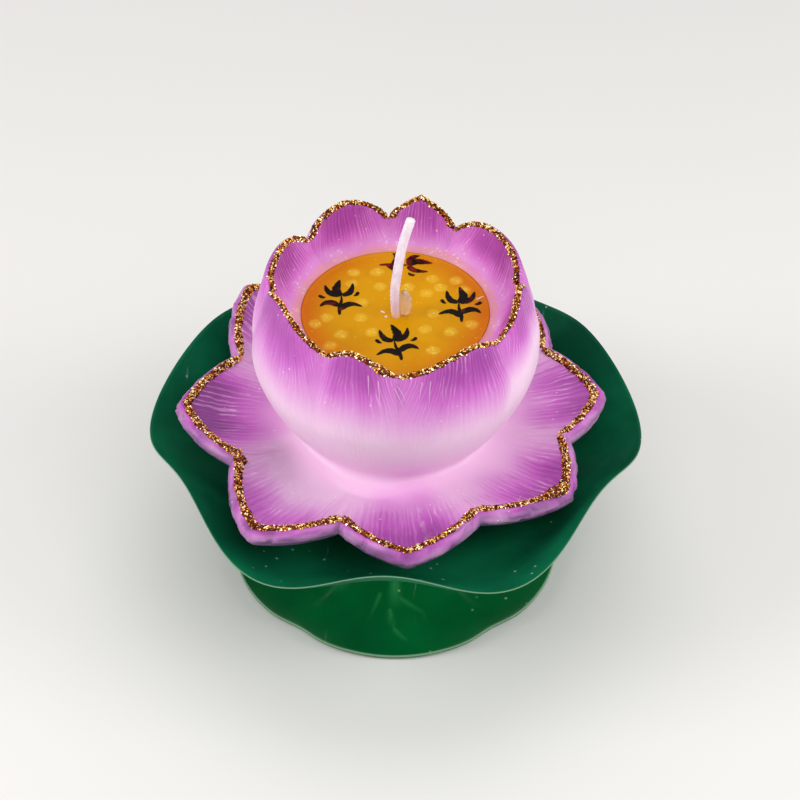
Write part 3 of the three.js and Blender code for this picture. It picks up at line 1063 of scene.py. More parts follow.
    def lining_stop(
        self, spot: Spot, turn: float, radius: float, height: float, share: float
    ) -> Stop:
        """Draws a point of the inner wall.

        Args:
            spot: Where the turn lies.
            turn: The turn in degrees.
            radius: Radius of the middle of the rounded rim.
            height: Its height.
            share: The point's share of the way from the fill to the rim.

        Returns:
            The point.
        """
        level = lerp(self.fill_top + self.meniscus, height, share)
        inside = lerp(self.mouth_radius, radius - self.rim / 2, max(0, share) ** 0.45)
        fan = fan_at(spot, self.radius, level, self.pinch * share)
        depth = self.lining_fold_depth * smooth(0.05, 0.35, share) * smooth(1, 0.7, share)
        above = level - self.fill_top
        ragged = 0.9 + 0.6 * grain(turn / 14, level / 2, 2)
        marks = {
            "paint": lerp(0.5, self.top_paint(spot), smooth(0, 0.7, share)),
            # Partly stain, partly painted glow of light coming through the gel
            "stain": 0.55 * smooth(ragged + 0.6, 0.2, above),
            "haze": smooth(4.5, 0.5, above) * smooth(-0.3, 0.5, grain(turn / 11, level / 3, 5)),
            "relief": self.top_relief(spot) * smooth(0.1, 0.5, share),
        }
        return Stop(inside - depth * folds(fan, self.lining_fold_spacing), level, marks, fan)


@dataclass
class WaxThreads:
    """Raised threads of wax that ran down from the cup's rim."""

    cup: PetalCup
    radius: float = 0.2
    wander: float = 0.25  # degrees by which a thread strays
    paint: float = 0.3
    steps: int = 24
    sides: int = 8

    # Turn in degrees and depth in mm below the rim at the start, and the same at the end
    runs = (
        (268.4, 1.6, 273.6, 7.2), (269.8, 1.4, 275.0, 6.2), (281.4, 1.4, 279.6, 6.6),
        (285.2, 1.4, 283.0, 9.4), (290.4, 1.4, 288.8, 9.8), (258.6, 2.6, 259.4, 8.5),
        (262.8, 2.4, 264.0, 8.8),
    )

    def build(self, finish: bpy.types.Material) -> None:
        """Builds the threads and sets them in the frame.

        Args:
            finish: Their finish.
        """
        mesh = merged(self.thread(*run) for run in self.runs)
        set_mark(mesh, "paint", lambda place: self.paint)
        settle(mesh, "wax_threads", finish, Body.CANDLE, Slot.PETAL_WAX)

    def thread(
        self, turn: float, below: float, end_turn: float, end_below: float
    ) -> bmesh.types.BMesh:
        """Draws one thread down the cup's wall.

        Args:
            turn: Turn at its start in degrees.
            below: Depth of its start under the rim in mm.
            end_turn: Turn at its end.
            end_below: Depth of its end.

        Returns:
            A closed mesh.
        """
        rim = self.cup.rim_height(self.cup.ring.spot((turn + end_turn) / 2))

        def place(share: float, angle: float) -> Vector:
            """Places a point of it.

            Args:
                share: Share of the way along.
                angle: Angle round it in radians.

            Returns:
                The point in metres.
            """
            at = lerp(turn, end_turn, share**0.7) + self.wander * grain(3 * share, turn, 0)
            height = rim - lerp(below, end_below, share)
            thick = self.radius * smooth(0, 0.15, share) * math.sqrt(1 - share)
            wall = self.cup.radius_at(self.cup.ring.spot(at), height)
            radius = wall + 0.8 * thick * math.sin(angle)
            return polar(radius, at + math.degrees(thick * math.cos(angle) / radius), height)

        return sleeve(self.steps, self.sides, place)


@dataclass
class PetalSaucer(Moulding):
    """The lower petals: a moulded wax saucer with a sloping, hand-trimmed edge."""

    piece = "petal_saucer"
    node = "lower_petals"
    slot = Slot.PETAL_WAX
    marks = ("paint", "relief", "painted_shade")
    fanned = True

    ring: PetalRing
    base: float
    cup: PetalCup
    reach: float = 57.5
    base_radius: float = 24
    height: float = 16.7
    edge: float = 5
    edge_share: float = 0.44
    edge_inset: float = 2.6
    edge_undercut: float = 1.6
    dip: float = 1.1
    petal_lift: float = 2.8
    seat_radius: float = 25.2
    socket_radius: float = 22
    socket_depth: float = 10
    fold_depth: float = 0.2
    fold_spacing: float = 4.0
    fan_share: float = 0.82  # share of the reach at which a mm of the fan is a mm of wax
    pinch: float = 0.12  # how much the veins draw together at the tips
    lump_height: float = 0.16
    trim_depth: float = 0.34  # mm by which the edge's hand trimming goes in and out
    nick_depth: float = 0.6
    knee_at: float = 0.5  # share of the way up the edge at which its slope changes
    neck: float = 2.6  # height to which the wax flows up the cup's wall
    neck_spread: float = 2.0  # mm by which it flows out
    front_neck: float = 2.6  # what both gain at front_neck_turn, where cup and saucer melt together
    front_neck_turn: float = 256
    front_neck_width: float = 20
    stub: float = 4.5  # height of the hidden wax inside the cup's wall
    columns: int = 1080
    top_rows: int = 32
    neck_rows: int = 12
    stub_rows: int = 3
    edge_rows: int = 9
    under_rows: int = 8

    # Painted shade on the top: how much, the turn in degrees of its middle, and its width
    painted_shade_patches = ((0.28, 216, 24), (0.1, 275, 14))

    @property
    def seat(self) -> float:
        """Height of the cup's seat."""
        return self.base + self.height

    def outline(self, spot: Spot) -> tuple[float, float]:
        """Finds the brink.

        Args:
            spot: Where the turn lies.

        Returns:
            Its reach and its lift in mm.
        """
        rise = rounded(spot.share, spot.petal.blunt)
        reach = self.reach * lerp(spot.valley.valley_share, spot.petal.tip_share, rise)
        lift = self.petal_lift * lerp(spot.valley.valley_lift, spot.petal.tip_lift, spot.share)
        return reach, lift

    def top_at(self, spot: Spot, share: float) -> tuple[float, float]:
        """Finds a point of the top, without its lumps and folds.

        Args:
            spot: Where the turn lies.
            share: Its share of the way from the seat to the brink.

        Returns:
            Its radius and height in mm.
        """
        reach, lift = self.outline(spot)
        radius = lerp(self.seat_radius, reach - self.edge_inset, share)
        rise = lift * max(share, 0) ** 1.6
        return radius, self.seat + rise - self.dip * math.sin(math.pi * share)

    def width(self, spot: Spot) -> float:
        """Returns the width of the top at a spot, from the seat to the brink."""
        return self.outline(spot)[0] - self.edge_inset - self.seat_radius

    def lump(self, turn: float, radius: float, share: float) -> float:
        """Returns the unevenness of the top in mm."""
        place = polar(radius / 9, turn, 3.7) / MM
        return self.lump_height * grain(*place) * smooth(0, 0.3, share)

    def surface(self, turn: float, radius: float) -> float:
        """Finds the top, without its folds.

        Args:
            turn: The turn in degrees.
            radius: The radius in mm.

        Returns:
            Its height in mm.
        """
        spot = self.ring.spot(turn)
        share = (radius - self.seat_radius) / self.width(spot)
        return self.top_at(spot, share)[1] + self.lump(turn, radius, share)

    def neck_stops(self, spot: Spot, turn: float, outer: float, wall_height: float) -> list[Stop]:
        """Draws the soft corner between saucer and cup, and the hidden wax above it.

        Args:
            spot: Where the turn lies.
            turn: The turn in degrees.
            outer: Radius at which the corner starts.
            wall_height: Height at which it meets the cup's wall.

        Returns:
            Its points, from the saucer's face up the wall and back down inside it.
        """
        step = 0.5
        wall = self.cup.radius_at
        slope = (self.surface(turn, outer + step) - self.surface(turn, outer - step)) / (2 * step)
        lean = (wall(spot, wall_height + step) - wall(spot, wall_height - step)) / (2 * step)
        start = Vector((outer, self.surface(turn, outer)))
        end = Vector((wall(spot, wall_height), wall_height))
        across = (end.x - lean * (end.y - start.y + slope * outer)) / (1 - lean * slope)
        corner = Vector((across, start.y + slope * (across - outer)))
        stops = []
        for row in range(1, self.neck_rows + 1):
            t = row / self.neck_rows
            point = start.lerp(corner, t).lerp(corner.lerp(end, t), t)
            share = (point.x - self.seat_radius) / self.width(spot)
            paint = lerp(self.paint(spot, turn, share), blush(turn), t)
            stops.append(Stop(point.x, point.y, {"paint": paint}))
        for row in range(1, self.stub_rows + 1):
            height = wall_height + self.stub * row / self.stub_rows
            stops.append(Stop(wall(spot, height) - SEAT_GAP * row, height))
        stops.append(Stop(self.seat_radius, wall_height + self.stub))
        return stops

    def profile(self, turn: float) -> list[Stop]:
        """Draws the profile at a turn.

        Args:
            turn: The turn in degrees.

        Returns:
            Its stops, from the base round the edge to the socket.
        """
        spot = self.ring.spot(turn)
        reach, _ = self.outline(spot)
        _, brink = self.top_at(spot, 1)
        inside, edge_bottom = reach - self.edge_undercut, brink - self.edge
        pale = {"paint": 0.12}
        stops = [Stop(0, self.base), Stop(self.base_radius, self.base, pale)]
        for row in range(1, self.under_rows):
            share = row / self.under_rows
            radius = lerp(self.base_radius, inside, share)
            stops.append(Stop(radius, lerp(self.base, edge_bottom, share**1.2), pale))
        for row in range(self.edge_rows):
            stops.append(self.edge_stop(spot, turn, reach, brink, row / self.edge_rows))
        front = patch(turn, self.front_neck_turn, self.front_neck_width)
        wall_height = self.seat + self.neck + self.front_neck * front
        outer = self.cup.radius_at(spot, wall_height) + self.neck_spread + self.front_neck * front
        inner_share = (outer - self.seat_radius) / self.width(spot)
        # Painted shade on the top: a little all round, more in the listed patches, none next to the
        # cup
        painted_shade = 0.12 + sum(depth * patch(turn, *where) for depth, *where in self.painted_shade_patches)
        for row in range(self.top_rows + 1):
            share = lerp(1, inner_share, row / self.top_rows)
            radius, height = self.top_at(spot, share)
            pinch = self.pinch * smooth(0.2, 1, share)
            fan = fan_at(spot, self.fan_share * self.reach, radius, pinch)
            depth = self.fold_depth * smooth(0.32, 0.55, share) * smooth(1, 0.93, share)
            height += depth * folds(fan, self.fold_spacing) + self.lump(turn, radius, share)
            marks = {
                "paint": self.paint(spot, turn, share),
                "relief": smooth(0.25, 0.55, share),
                "painted_shade": painted_shade * smooth(0.1, 0.4, share),
            }
            stops.append(Stop(radius, height, marks, fan))
        stops += self.neck_stops(spot, turn, outer, wall_height)
        seat = self.seat - 2 * SEAT_GAP
        floor = self.seat - self.socket_depth
        stops += [Stop(self.socket_radius, seat), Stop(self.socket_radius, floor), Stop(0, floor)]
        return stops

    def paint(self, spot: Spot, turn: float, share: float) -> float:
        """Finds how much paint the top has: most towards a tip, little in a valley.

        Args:
            spot: Where the turn lies.
            turn: The turn in degrees.
            share: Share of the way from the seat to the brink.

        Returns:
            The paint, from 0 to about 1.
        """
        petal = spot.petal.paint * lerp(0.25, 1, smooth(0.05, 0.7, spot.share))
        spread = 0.92 * smooth(paint_start(spot), 0.92, share)
        return blush(turn) * smooth(0.5, 0.2, share) + spread * petal

    def edge_stop(self, spot: Spot, turn: float, reach: float, brink: float, share: float) -> Stop:
        """Draws a point of the outer edge.

        Args:
            spot: Where the turn lies.
            turn: The turn in degrees.
            reach: The saucer's greatest radius there.
            brink: Height of the brink.
            share: The point's share of the way up, from where the edge turns under.

        Returns:
            The point.
        """
        bottom, knee = brink - self.edge, brink - self.edge * self.edge_share
        if share < self.knee_at:
            part = share / self.knee_at
            radius = lerp(reach - self.edge_undercut, reach, math.sin(part * math.pi / 2))
            height = lerp(bottom, knee, part)
        else:
            part = (share - self.knee_at) / (1 - self.knee_at)
            radius = lerp(reach, reach - self.edge_inset, part**1.15)
            height = lerp(knee, brink, math.sin(part * math.pi / 2) ** 0.9)
        x, y = (reach * side for side in facing(turn))
        trim = grain(x / 3, y / 3, height / 2.5) + 0.6 * grain(x, y, height)
        nick = smooth(0.3, 0.48, grain(x / 3 + 9, y / 3, height / 3))
        trim = (self.trim_depth * trim - self.nick_depth * nick) * math.sin(math.pi * share)
        paint = 0.3 + 0.6 * smooth(0.35, 0.8, share) + 0.5 * grain(x / 5, y / 5, height)
        # Painted shade on the edge: greyer towards its bottom, in uneven blotches
        shade_blotches = smooth(-0.1, 0.5, grain(x / 6, y / 6, height + 5))
        painted_shade = 0.7 * smooth(1.05, 0.3, share) + 0.4 * shade_blotches
        marks = {"paint": paint * lerp(0.7, 1, spot.share), "relief": 0.25, "painted_shade": painted_shade}
        return Stop(radius - 0.1 + trim, height, marks, (x, y, height / 2))


def cut_edge(radius: float, height: float, thick: float, inset: float, *cuts: float) -> list[Stop]:
    """Draws the cut edge of a sheet.

    Args:
        radius: Its radius in mm.
        height: Height of the sheet's top.
        thick: Thickness of the sheet.
        inset: Size of its blunted corners.
        *cuts: How pale its lower corner, upper corner and top are.

    Returns:
        Its four points, from the underside up.
    """
    lower, upper, top = cuts
    return [
        Stop(radius - inset, height - thick),
        Stop(radius, height - thick + inset, {"cut": lower}),
        Stop(radius, height - inset, {"cut": upper}),
        Stop(radius - inset, height, {"cut": top}),
    ]


@dataclass
class LeafDish(Moulding):
    """The upper leaf: a thin wavy sheet that carries the candle."""

    piece = "dish_sheet"
    node = "leaf_dish"
    body = Body.STAND
    slot = Slot.SATIN_LEAF
    marks = ("cut",)

    underside: float
    radius: float = 63
    sheet: float = 1.2
    edge: float = 0.55
    flat_radius: float = 22
    rim_lift: float = 14.8
    waves: int = 6
    wave_turn: float = 28
    wave_height: float = 3.8
    wave_reach: float = 2.1
    bend: float = 2.8
    dent_depth: float = 0.35
    dent_width: float = 18
    plug_radius: float = 4.2
    columns: int = 480
    rows: int = 44

    def top_at(self, turn: float, share: float) -> tuple[float, float]:
        """Finds a point of the top.

        Args:
            turn: The turn in degrees.
            share: Its share of the way from the flat to the rim.

        Returns:
            Its radius and height in mm.
        """
        ripple = wave(self.waves, turn, self.wave_turn)
        rim = self.radius - self.wave_reach * ripple
        lift = self.rim_lift + self.wave_height * ripple
        radius = lerp(self.flat_radius, rim, share)
        x, y = (radius * side / self.dent_width for side in facing(turn))
        fade = smooth(0.2, 0.8, share) * smooth(1.05, 0.9, share)
        dent = self.dent_depth * grain(x, y, 1.3) * fade
        return radius, self.underside + self.sheet + lift * share**self.bend + dent

    def profile(self, turn: float) -> list[Stop]:
        """Draws the profile at a turn.

        Args:
            turn: The turn in degrees.

        Returns:
            Its stops, from the plug round the cut edge to the middle.
        """
        top = [self.top_at(turn, row / self.rows) for row in range(self.rows + 1)]
        stops = [Stop(0, low("leaf_dish")), Stop(self.plug_radius, low("leaf_dish"))]
        stops.append(Stop(self.plug_radius, self.underside))
        for row, (radius, height) in enumerate(top[:-1]):
            thick = lerp(self.sheet, self.edge, smooth(0.85, 1, row / self.rows))
            stops.append(Stop(radius, height - thick))
        stops += cut_edge(*top[-1], self.edge, self.edge / 3, 0.4, 0.9, 0)
        stops += [Stop(radius, height) for radius, height in reversed(top[:-1])]
        stops.append(Stop(0, self.underside + self.sheet))
        return stops


@dataclass
class LeafFoot(Moulding):
    """The lower leaf: a lobed, glossy sheet that stands on a flat ring."""

    piece = "foot_sheet"
    node = "foot_leaf"
    body = Body.STAND
    slot = Slot.GLOSS_LEAF
    marks = ("cut", "painted_sheen")

    radius: float = 44.6
    sheet: float = 1.2
    lobes: int = 5
    lobe_depth: float = 1.4
    lobe_sharpness: int = 8  # the higher, the narrower the notch between two lobes
    lobe_turn: float = 270
    rim_lift: float = 1
    rim_wave: float = 0.5
    ring_inside: float = 30
    ring_outside: float = 34
    crown_rise: float = 3.6
    crown_radius: float = 14.5
    veins: int = 10
    vein_height: float = 0.5
    side_vein_height: float = 0.35
    side_vein_width: float = 0.5
    side_vein_spread: float = 16  # degrees on both sides of lobe_turn that hold side veins
    plug_radius: float = 4.2
    plug_height: float = 7
    columns: int = 480
    slope_rows: int = 22
    rim_rows: int = 24

    # Side veins by the front vein: both ends in mm
    side_veins = (
        (1.2, -24.6, 7.5, -28.7), (-4.1, -23.5, -6.2, -28.9),
        (-1.4, -28.4, -0.2, -35.6), (-0.2, -35.2, 2.6, -38.4),
    )

    def side_vein(self, radius: float, turn: float) -> float:
        """Finds the relief of the side veins.

        Args:
            radius: Radius of the place in mm.
            turn: Its turn in degrees.

        Returns:
            The relief, from 0 to 1.
        """
        spot = polar(radius, turn, 0).xy / MM
        relief = 0.0
        for x0, y0, x1, y1 in self.side_veins:
            start, run = Vector((x0, y0)), Vector((x1 - x0, y1 - y0))
            along = min(1, max(0, (spot - start).dot(run) / run.length_squared))
            away = (spot - start - run * along).length
            ridge = math.exp(-((away / self.side_vein_width) ** 2))
            relief = max(relief, ridge * (1 - 0.6 * along))
        return relief

    def level(self, radius: float, turn: float) -> float:
        """Finds the top, without its veins.

        Args:
            radius: Radius of the place in mm.
            turn: Its turn in degrees.

        Returns:
            Its height in mm.
        """
        if radius <= self.ring_inside:
            share = (radius - self.crown_radius) / (self.ring_inside - self.crown_radius)
            return self.sheet + self.crown_rise * (1 - smooth(0, 1, share))
        share = max(0.0, (radius - self.ring_outside) / (self.radius - self.ring_outside))
        lift = self.rim_lift - self.rim_wave * wave(self.lobes, turn, self.lobe_turn)
        return self.sheet + lift * share**2

    def profile(self, turn: float) -> list[Stop]:
        """Draws the profile at a turn.

        Args:
            turn: The turn in degrees.

        Returns:
            Its stops, from under the crown round the edge to the plug.
        """
        notch = ((1 - wave(self.lobes, turn, self.lobe_turn)) / 2) ** self.lobe_sharpness
        rim = self.radius - self.lobe_depth * notch
        spans = (
            (self.crown_radius, self.ring_inside, self.slope_rows),
            (self.ring_outside, rim, self.rim_rows),
        )
        radii = [
            lerp(start, end, row / rows) for start, end, rows in spans for row in range(rows + 1)
        ]
        crown = self.sheet + self.crown_rise
        stops = [Stop(0, crown - self.sheet)]
        stops += [Stop(radius, self.level(radius, turn) - self.sheet) for radius in radii[:-1]]
        stops += cut_edge(rim, self.level(rim, turn), self.sheet, self.sheet / 4, 0, 0.7, 0.1)
        ridge = max(0.0, wave(self.veins, turn, self.lobe_turn)) ** 5
        veined = abs(turn - self.lobe_turn) < self.side_vein_spread
        for radius in reversed(radii[:-1]):
            run = (radius - self.crown_radius) / (rim - self.crown_radius)
            side = self.side_vein(radius, turn) if veined else 0
            main = ridge * smooth(0, 0.1, run) * smooth(0.85, 0.55, run)
            raised = self.vein_height * main + self.side_vein_height * side
            # Painted highlight streaks, brightest near the crown and on the side veins
            painted_sheen = max(ridge * smooth(0.5, 0.2, run), 0.8 * side)
            stops.append(Stop(radius, self.level(radius, turn) + raised, {"painted_sheen": painted_sheen}))
        top = crown + self.plug_height
        stops += [Stop(self.plug_radius, crown), Stop(self.plug_radius, top), Stop(0, top)]
        return stops


@dataclass
class LeafStalk(Moulding):
    """The fluted tube between the two leaves."""

    piece = "stalk_tube"
    node = "leaf_stalk"
    body = Body.STAND
    slot = Slot.GLOSS_LEAF
    marks = ("cut",)

    waist_radius: float = 7.5
    flange_radius: float = 12.5
    flange_height: float = 1.5
    bore_radius: float = 4.5
    flutes: int = 8
    flute_depth: float = 0.9
    columns: int = 240
    rows: int = 30

    def profile(self, turn: float) -> list[Stop]:
        """Draws the profile at a turn.

        Args:
            turn: The turn in degrees.

        Returns:
            Its stops, a ring that closes on itself.
        """
        bottom, top = low("leaf_stalk"), high("leaf_stalk")
        flute = self.flute_depth * (1 + wave(self.flutes, turn, 0)) / 2
        start, end = bottom + self.flange_height, top - self.flange_height
        bevel = self.flange_height / 4
        stops = [Stop(self.bore_radius, bottom), Stop(self.flange_radius - bevel, bottom)]
        stops += [Stop(self.flange_radius, bottom + bevel), Stop(self.flange_radius, start - bevel)]
        for row in range(self.rows + 1):
            share = row / self.rows
            swell = abs(2 * share - 1) ** 3
            radius = lerp(self.waist_radius, self.flange_radius - bevel, swell)
            stops.append(Stop(radius - flute * (1 - swell**4), lerp(start, end, share)))
        stops += [Stop(self.flange_radius, end + bevel), Stop(self.flange_radius, top - bevel)]
        stops += [Stop(self.flange_radius - bevel, top), Stop(self.bore_radius, top)]
        return [*stops, stops[0]]


@dataclass
class GelFill(Moulding):
    """The amber fill with its clusters of pearls and crumbs of wax."""

    piece = "gel_fill"
    node = "amber_fill"
    slot = Slot.AMBER_GEL
    marks = ("pearl", "brim")

    bottom: float
    depth: float = 39.5
    mouth_radius: float = 23.9
    floor_radius: float = 15.7
    edge_rise: float = 0.3
    edge_width: float = 1.5
    brim_width: float = 9  # mm over which the gel reddens towards the wall
    pearls: int = 5
    cluster_radius: float = 0.95
    cluster_reach: float = 4  # mm from a cluster's middle within which its pearls tell
    pearl_radius: float = 0.6
    pearl_proud: float = 0.13
    swell: float = 0.06  # height of the gel over a pearl
    ripple: float = 0.05
    crumb_stain: float = 0.3
    columns: int = 300
    rows: int = 60
    seed: int = 11

    # Middles of the pearl clusters in mm
    cluster_places = (
        (-10.7, 15.6), (-4.8, 15.8), (-3.9, 10.0), (3.2, 9.8), (8.0, 7.4), (11.5, 9.6),
        (9.5, 13.2), (15.6, 12.4), (-11.2, 11.2), (-17.3, -2.2), (-8.7, -2.2), (-8.4, 3.6),
        (-20.2, -4.6), (-13.6, -8.6), (-16.3, -12.9), (-5.9, -7.8), (7.5, -6.7),
        (13.8, -7.6), (19.2, -4.8), (9.6, -0.6), (9.4, -14.7), (17.6, 8.6),
    )

    # Middles of crumbs of wax in mm, their turn in degrees, length and width
    crumbs = (
        (-3.2, -0.2, 150, 1.3, 0.6), (-2.3, -2.0, 40, 0.8, 0.6), (21.6, 5.4, 35, 2.4, 0.35),
    )

    def __post_init__(self) -> None:
        """Places the pearls."""
        self.clusters = self.places()

    @property
    def top(self) -> float:
        """Height of the gel's surface."""
        return self.bottom + self.depth

    def places(self) -> list[tuple[Vector, list[Vector]]]:
        """Draws the pearls' places.

        Returns:
            Each cluster's middle with its pearls' middles, in mm on the surface.
        """
        draw = random.Random(self.seed)
        found: list[tuple[Vector, list[Vector]]] = []
        for place in self.cluster_places:
            middle, pearls = Vector(place), []
            count = draw.randint(self.pearls - 2, self.pearls + 1)
            for index in range(count):
                out = self.cluster_radius * (draw.uniform(0.6, 1.2) if index else 0.2)
                angle = math.tau * (index / (count - 1) + 0.3 * draw.random())
                pearls.append(middle + Vector((out * math.cos(angle), out * math.sin(angle))))
            found.append((middle, pearls))
        return found

    def surface(self, radius: float, turn: float) -> Stop:
        """Draws a point of the surface.

        Args:
            radius: Its radius in mm.
            turn: Its turn in degrees.

        Returns:
            The point.
        """
        x, y = facing(turn)
        spot = Vector((radius * x, radius * y))
        ragged = 0.4 * grain(spot.x / 1.2, spot.y / 1.2, 4)
        glow = max(smooth(2.0, 1.3, (spot - middle).length + ragged) for middle, _ in self.clusters)
        near = sum(
            math.exp(-((spot - pearl).length_squared / 0.3))
            for middle, pearls in self.clusters
            if (spot - middle).length_squared < self.cluster_reach**2
            for pearl in pearls
        )
        edge = self.mouth_radius
        brim = 0.9 * smooth(edge - self.brim_width, edge, radius) * lerp(0.2, 1, abs(x))
        rise = self.edge_rise * smooth(edge - self.edge_width, edge, radius) ** 2
        swell = self.swell * min(1, near) + self.ripple * grain(spot.x / 5, spot.y / 5, 0)
        marks = {"pearl": min(1, 0.34 * glow + 0.14 * near), "brim": brim}
        return Stop(radius, self.top + rise + swell, marks)

    def profile(self, turn: float) -> list[Stop]:
        """Draws the profile at a turn.

        Args:
            turn: The turn in degrees.

        Returns:
            Its stops, from the bottom over the edge to the middle.
        """
        radii = (self.mouth_radius * (1 - row / self.rows) for row in range(self.rows + 1))
        bottom = [Stop(0, self.bottom), Stop(self.floor_radius, self.bottom)]
        return bottom + [self.surface(radius, turn) for radius in radii]

    def set_pearls(self, finish: bpy.types.Material) -> None:
        """Sets the pearls in the gel.

        Args:
            finish: Their finish.
        """
        mesh = bmesh.new()
        glow = mesh.verts.layers.float.new("pearl")
        draw = random.Random(self.seed)
        for spot in (pearl for _, pearls in self.clusters for pearl in pearls):
            radius = self.pearl_radius * draw.uniform(0.6, 1.3)
            height = self.top + self.pearl_proud - radius
            place = Matrix.Translation(Vector((spot.x, spot.y, height)) * MM)
            made = bmesh.ops.create_uvsphere(
                mesh, u_segments=10, v_segments=7, radius=radius * MM, matrix=place
            )
            shine = draw.uniform(0.5, 1)
            for vertex in made["verts"]:
                vertex[glow] = shine
        settle(mesh, "gel_pearls", finish, Body.CANDLE, Slot.AMBER_GEL)

    def scatter_crumbs(self, finish: bpy.types.Material) -> None:
        """Lays crumbs of pale wax by the wick and at the gel's edge.

        Args:
            finish: Their finish.
        """
        mesh = bmesh.new()
        for x, y, turn, length, width in self.crumbs:
            spin = Matrix.Rotation(math.radians(turn), 4, "Z")
            size = Matrix.Diagonal((length / 2, width / 2, width / 2, 1))
            place = Matrix.Translation(Vector((x, y, self.top + width / 4)) * MM) @ spin @ size
            bmesh.ops.create_uvsphere(mesh, u_segments=14, v_segments=10, radius=MM, matrix=place)
        for vertex in mesh.verts:
            vertex.co += vertex.normal * 0.12 * MM * grain(*(vertex.co / MM * 2))
        set_mark(mesh, "stain", lambda place: self.crumb_stain)
        settle(mesh, "wax_crumbs", finish, Body.CANDLE, Slot.WICK_COTTON)


@dataclass
class Wick:
    """The waxed wick, bent and leaning."""

    fill_top: float
    radius: float = 1.25
    exposed: float = 26.7
    foot_x: float = 0.2
    foot_y: float = -1.3
    braid: float = 0.025  # height in mm of each of the two sets of strands
    twist: float = 190  # radians by which a strand turns from foot to tip
    lump: float = 0.06
    stain_height: float = 3  # mm above the fill to which the gel colours it
    steps: int = 110
    sides: int = 20

    # The path above the fill as shares of the exposed length
    path_shares = (
        (0, 0, 0), (-0.011, 0.004, 0.288), (0.019, 0.06, 0.536), (0.064, 0.131, 0.76),
        (0.139, 0.199, 1),
    )

    def path(self, share: float) -> Vector:
        """Follows the middle line.

        Args:
            share: Share of the way from the foot to the tip.

        Returns:
            The point there in mm.
        """
        foot = Vector((self.foot_x, self.foot_y, self.fill_top))
        points = [foot + self.exposed * Vector(shares) for shares in self.path_shares]
        points.insert(0, Vector((self.foot_x, self.foot_y, low("wick"))))
        last = len(points) - 1
        place = share * last
        index = min(last - 1, int(place))
        before, after = points[max(0, index - 1)], points[min(last, index + 2)]
        start, end, t = points[index], points[index + 1], place - index
        leave = (end - before) / (2 if index else 1)
        arrive = (after - start) / (2 if index + 2 <= last else 1)
        if index == 1:
            leave = (end - start) * 0.9
        if index == 0:
            arrive = end - start
        return eased(start, end, leave, arrive, t)

    def build(self, finish: bpy.types.Material) -> None:
        """Builds the wick and sets it in the frame.

        Args:
            finish: Its finish.
        """
        step = 0.5 / self.steps

        def place(share: float, angle: float) -> Vector:
            """Places a point of it.

            Args:
                share: Share of the way along.
                angle: Angle round it in radians.

            Returns:
                The point in metres.
            """
            ring = round(share * self.steps)
            share = min(1, max(0, (ring - 1) / (self.steps - 2)))
            middle = self.path(share)
            ahead = (self.path(min(1, share + step)) - self.path(max(0, share - step))).normalized()
            side = ahead.cross(Vector((0, 1, 0))).normalized()
            other = ahead.cross(side)
            twist = share * self.twist
            braid = self.braid * (math.sin(3 * angle + twist) + math.sin(-3 * angle + twist))
            lump = self.lump * grain(math.cos(angle), math.sin(angle), share * 18)
            radius = self.radius - self.lump + braid + lump
            if share in (0, 1):
                radius *= 0.85
            if ring in (0, self.steps):
                radius = 0
            return (middle + (side * math.cos(angle) + other * math.sin(angle)) * radius) * MM

        mesh = sleeve(self.steps, self.sides, place)
        stained = self.fill_top + self.stain_height
        set_mark(mesh, "stain", lambda spot: 0.6 * smooth(stained, self.fill_top, spot.z))
        settle(mesh, "wick_braid", finish, Body.CANDLE, Slot.WICK_COTTON, ["wick"])


@dataclass
class GlueDrop:
    """The clear drop beside the wick."""

    fill_top: float
    width: float = 3.8
    height: float = 8.4
    sunk: float = 0.7
    middle_x: float = 2.4
    middle_y: float = -0.7

    def build(self, finish: bpy.types.Material) -> None:
        """Builds the drop and sets it in the frame.

        Args:
            finish: Its finish.
        """
        mesh = bmesh.new()
        radius = self.width / 2 * MM
        bmesh.ops.create_uvsphere(mesh, u_segments=48, v_segments=32, radius=radius)
        for vertex in mesh.verts:
            lump = 1 + 0.05 * grain(*(vertex.co / MM))
            taper = (1 - 0.16 * vertex.co.z / radius) * lump
            vertex.co *= Vector((taper, taper, self.height / self.width))
        level = self.fill_top + self.height / 2 - self.sunk
        middle = Vector((self.middle_x, self.middle_y, level)) * MM
        bmesh.ops.translate(mesh, vec=middle, verts=mesh.verts)
        settle(mesh, "glue_drop", finish, Body.CANDLE, Slot.CLEAR_GLUE, ["wick_glue"])


class StrokePoint(NamedTuple):
    """A point on the line that glitter follows."""

    middle: Vector  # its place in mm
    across: Vector  # unit arrow across the line, on the wax
    off: Vector  # unit arrow off the wax
    bend: float = 0  # 1 over the radius in mm to which the wax curves away across the line


